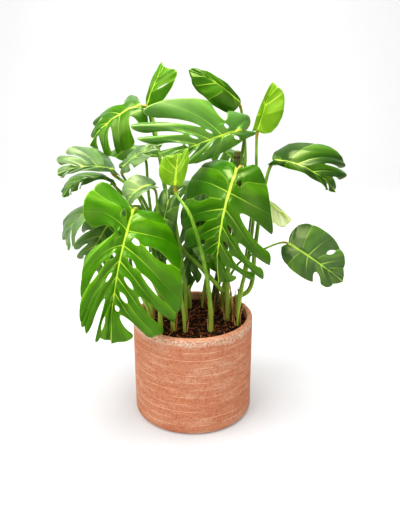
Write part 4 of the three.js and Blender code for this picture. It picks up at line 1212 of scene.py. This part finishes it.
class MONSTERA_OT_soil(bpy.types.Operator):
    """Fill the pot with soil and strew crumbs, chips, fibres and grit over it"""
    bl_idname = "monstera.soil"
    bl_label = "Soil"

    def execute(self, context):
        soil = context.scene.monstera_soil
        edge, low, top = SOIL_HIGH[0], SOIL_LOW[2], SOIL_TOP * MM
        profile = [(0, low), (0.05, low), (edge, low), (edge, SOIL_WAIST)]
        profile += [(edge * (1 - i / SOIL_RINGS), top) for i in range(SOIL_RINGS)] + [(0, top)]
        points, faces = lathe(profile, SOIL_SIDES)
        upper = points[:, 2] > SOIL_WAIST
        points[upper, 2] = soil_height(points[upper, 0], points[upper, 1])
        peat = material("damp_peat", damp_peat, soil.peat, "#3a2416", 0.006)
        bed = new_piece("soil_bed", points, faces, peat)
        ready(bed, "soil", "soil")
        crumbs = grown(
            bed, scatter_tree("crumbs", crumb, (0.35, 0.3, 0.25), (1.0, 0.85, 0.6), (3.1, 3.1, 3.1)),
            "soil_crumbs", count=soil.crumbs, size=soil.crumb_size, seed=soil.seed, material=peat,
        )
        ready(crumbs, "soil", "soil")
        finishes = (
            ("bark_chips", soil.bark, "#4a2a18", 0.5),
            ("dry_fibres", "#b98c58", "#7c5433", 0.3),
            ("pale_grit", "#a8a49c", "#c9b79a", 0.12),
        )
        for n, (name, first, second, share) in enumerate(finishes):
            tree = scatter_tree(name, chip, (0.25, 0.3, 0.3), (1.0, 1.6, 1.6), (0.5, 0.5, 6.28))
            chips = grown(
                bed, tree, name, count=int(soil.chips * share), size=soil.chip_length * (1 - 0.25 * n),
                seed=soil.seed + 5 + n, material=material(name, damp_peat, first, second, 0.01),
            )
            ready(chips, "soil")
        return {"FINISHED"}


class MONSTERA_OT_stems(bpy.types.Operator):
    """Raise the canes, the air root, the dry sheath and the husks beside the stalks"""
    bl_idname = "monstera.stems"
    bl_label = "Canes, roots and husks"

    def execute(self, context):
        stalk = context.scene.monstera_stalk
        dry = material("dry_husk", dry_husk, stalk)
        skins = {"cane": material("cane_bark", cane_bark, stalk), "husk": dry}
        for stem in STEMS:
            points, long = smooth_line(stem_line(stem.root, stem.points), STEM_STEPS)
            share = np.linspace(0, 1, len(points))
            radii = stem.stout * (1 - stem.thinning * share ** 0.7)
            if stem.finish == "cane":
                ring = np.abs((share * long / CANE_RING) % 1 - 0.5)
                radii = radii * (0.93 + 0.07 * np.exp(-((ring / 0.07) ** 2)))
            else:
                radii = radii * (0.86 + 0.14 * np.sin(share * 19) ** 2)
            piece = grown_stem("stem_" + stem.name, points, radii, STEM_SIDES, skins[stem.finish])
            ready(piece, stem.finish, stem.name)
        for number in range(HUSKS_EACH * len(FRONDS)):
            points, _ = smooth_line(husk_line(FRONDS[number // HUSKS_EACH].root, number), HUSK_STEPS)
            radii = np.linspace(*HUSK_RADII, len(points))
            ready(grown_stem(f"husk_{number + 1}", points, radii, HUSK_SIDES, dry), "husk")
        return {"FINISHED"}


class MONSTERA_OT_leaves(bpy.types.Operator):
    """Grow every leaf blade"""
    bl_idname = "monstera.leaves"
    bl_label = "Leaves"

    def execute(self, context):
        leaf = context.scene.monstera_leaf
        for frond in FRONDS:
            mesh = leaf_mesh(frond, leaf)
            mesh.materials.append(material("waxy_leaf_top", living_leaf, leaf, True))
            mesh.materials.append(material("waxy_leaf_under", living_leaf, leaf, False))
            piece = linked("blade_" + frond.name, mesh)
            ready(piece, "young_leaf" if frond.tone == "young" else "leaf", "frond_" + frond.name)
        return {"FINISHED"}


class MONSTERA_OT_stalks(bpy.types.Operator):
    """Grow the stalk of every leaf"""
    bl_idname = "monstera.stalks"
    bl_label = "Leaf stalks"

    def execute(self, context):
        stalk = context.scene.monstera_stalk
        green = material("fleshy_stalk", fleshy_stalk, stalk)
        for frond in FRONDS:
            points, long = smooth_line(stalk_line(frond), STALK_STEPS, stalk.step / MM)
            share = np.linspace(0, 1, len(points))
            left = (1 - share) * long
            radii = frond.stout * (1 - STALK_THINS * share ** 0.7)
            radii = radii * (1 + KNEE_SWELL * np.exp(-(((left - KNEE_AT) / KNEE_LONG) ** 2)))
            radii = radii * np.clip(left / INTO_BLADE, 0.25, 1) ** 0.6
            piece = grown_stem("stalk_" + frond.name, points, radii, stalk.sides, green)
            ready(piece, "leaf", "frond_" + frond.name)
        return {"FINISHED"}


class MONSTERA_OT_studio(bpy.types.Operator):
    """Set up the white sweep, the soft lights and the camera"""
    bl_idname = "monstera.studio"
    bl_label = "Studio"

    def execute(self, context):
        studio = context.scene.monstera_studio
        scene = context.scene
        scene.view_settings.view_transform = "Standard"
        scene.view_settings.look = "High Contrast"
        # The floor is level until some way behind the pot, and then curves up as the backdrop.
        path = [(-FLOOR_HALF, 0.0), (FLOOR_BACK, 0.0)]
        path += [
            (FLOOR_BACK + CURVE_RADIUS * math.sin(a), CURVE_RADIUS - CURVE_RADIUS * math.cos(a))
            for a in np.radians(np.linspace(8, 90, 12))
        ]
        path.append((FLOOR_BACK + CURVE_RADIUS, BACKDROP_TOP))
        points = [(x, y, z) for y, z in path for x in (-FLOOR_HALF, FLOOR_HALF)]
        faces = [(2 * i, 2 * i + 1, 2 * i + 3, 2 * i + 2) for i in range(len(path) - 1)]
        new_piece("paper_sweep", points, faces, material("matt_paper", matt_paper))

        world = bpy.data.worlds.new("studio_sky")
        world.use_nodes = True
        world.node_tree.nodes.clear()
        sky = add(world.node_tree, "ShaderNodeBackground", Color=(1, 1, 1, 1), Strength=studio.sky)
        add(world.node_tree, "ShaderNodeOutputWorld", Surface=sky.outputs[0])
        scene.world = world
        for name, (place, aim, size, power) in LIGHTS.items():
            light = bpy.data.lights.new(name, "AREA")
            light.shape = "SQUARE"
            light.size = size
            light.energy = studio.key * power
            lamp = linked(name, light)
            lamp.location = place
            lamp.rotation_euler = (Vector(aim) - Vector(place)).to_track_quat("-Z", "Y").to_euler()

        camera = bpy.data.cameras.new("camera")
        camera.sensor_fit = "AUTO"
        camera.sensor_width = 36
        camera.lens = studio.focal_length
        eye = linked("camera", camera)
        eye.location = studio.place
        eye.rotation_euler = (math.pi / 2 - studio.pitch, 0, 0)
        scene.camera = eye
        return {"FINISHED"}


class MONSTERA_PT_panel(bpy.types.Panel):
    """Sizes, colours and steps of the potted monstera"""
    bl_idname = "MONSTERA_PT_panel"
    bl_label = "Potted monstera"
    bl_space_type = "VIEW_3D"
    bl_region_type = "UI"
    bl_category = "Monstera"

    def draw(self, context):
        for step, settings in STEPS:
            box = self.layout.box()
            box.operator(step.bl_idname)
            if settings:
                values = getattr(context.scene, settings)
                for key in values.__annotations__:
                    box.prop(values, key)


SETTINGS = {
    "monstera_pot": PotSettings,
    "monstera_soil": SoilSettings,
    "monstera_leaf": LeafSettings,
    "monstera_stalk": StalkSettings,
    "monstera_studio": StudioSettings,
}
STEPS = [
    (MONSTERA_OT_pot, "monstera_pot"),
    (MONSTERA_OT_soil, "monstera_soil"),
    (MONSTERA_OT_stems, None),
    (MONSTERA_OT_leaves, "monstera_leaf"),
    (MONSTERA_OT_stalks, "monstera_stalk"),
    (MONSTERA_OT_studio, "monstera_studio"),
]
CLASSES = [*SETTINGS.values(), *(step for step, _ in STEPS), MONSTERA_PT_panel]


def register():
    for each in CLASSES:
        bpy.utils.register_class(each)
    for name, group in SETTINGS.items():
        setattr(bpy.types.Scene, name, PointerProperty(type=group))


def unregister():
    for name in SETTINGS:
        delattr(bpy.types.Scene, name)
    for each in reversed(CLASSES):
        bpy.utils.unregister_class(each)


def main():
    """Build everything."""
    register()
    bpy.ops.monstera.pot()
    bpy.ops.monstera.soil()
    bpy.ops.monstera.stems()
    bpy.ops.monstera.leaves()
    bpy.ops.monstera.stalks()
    bpy.ops.monstera.studio()


if __name__ == "__main__":
    main()
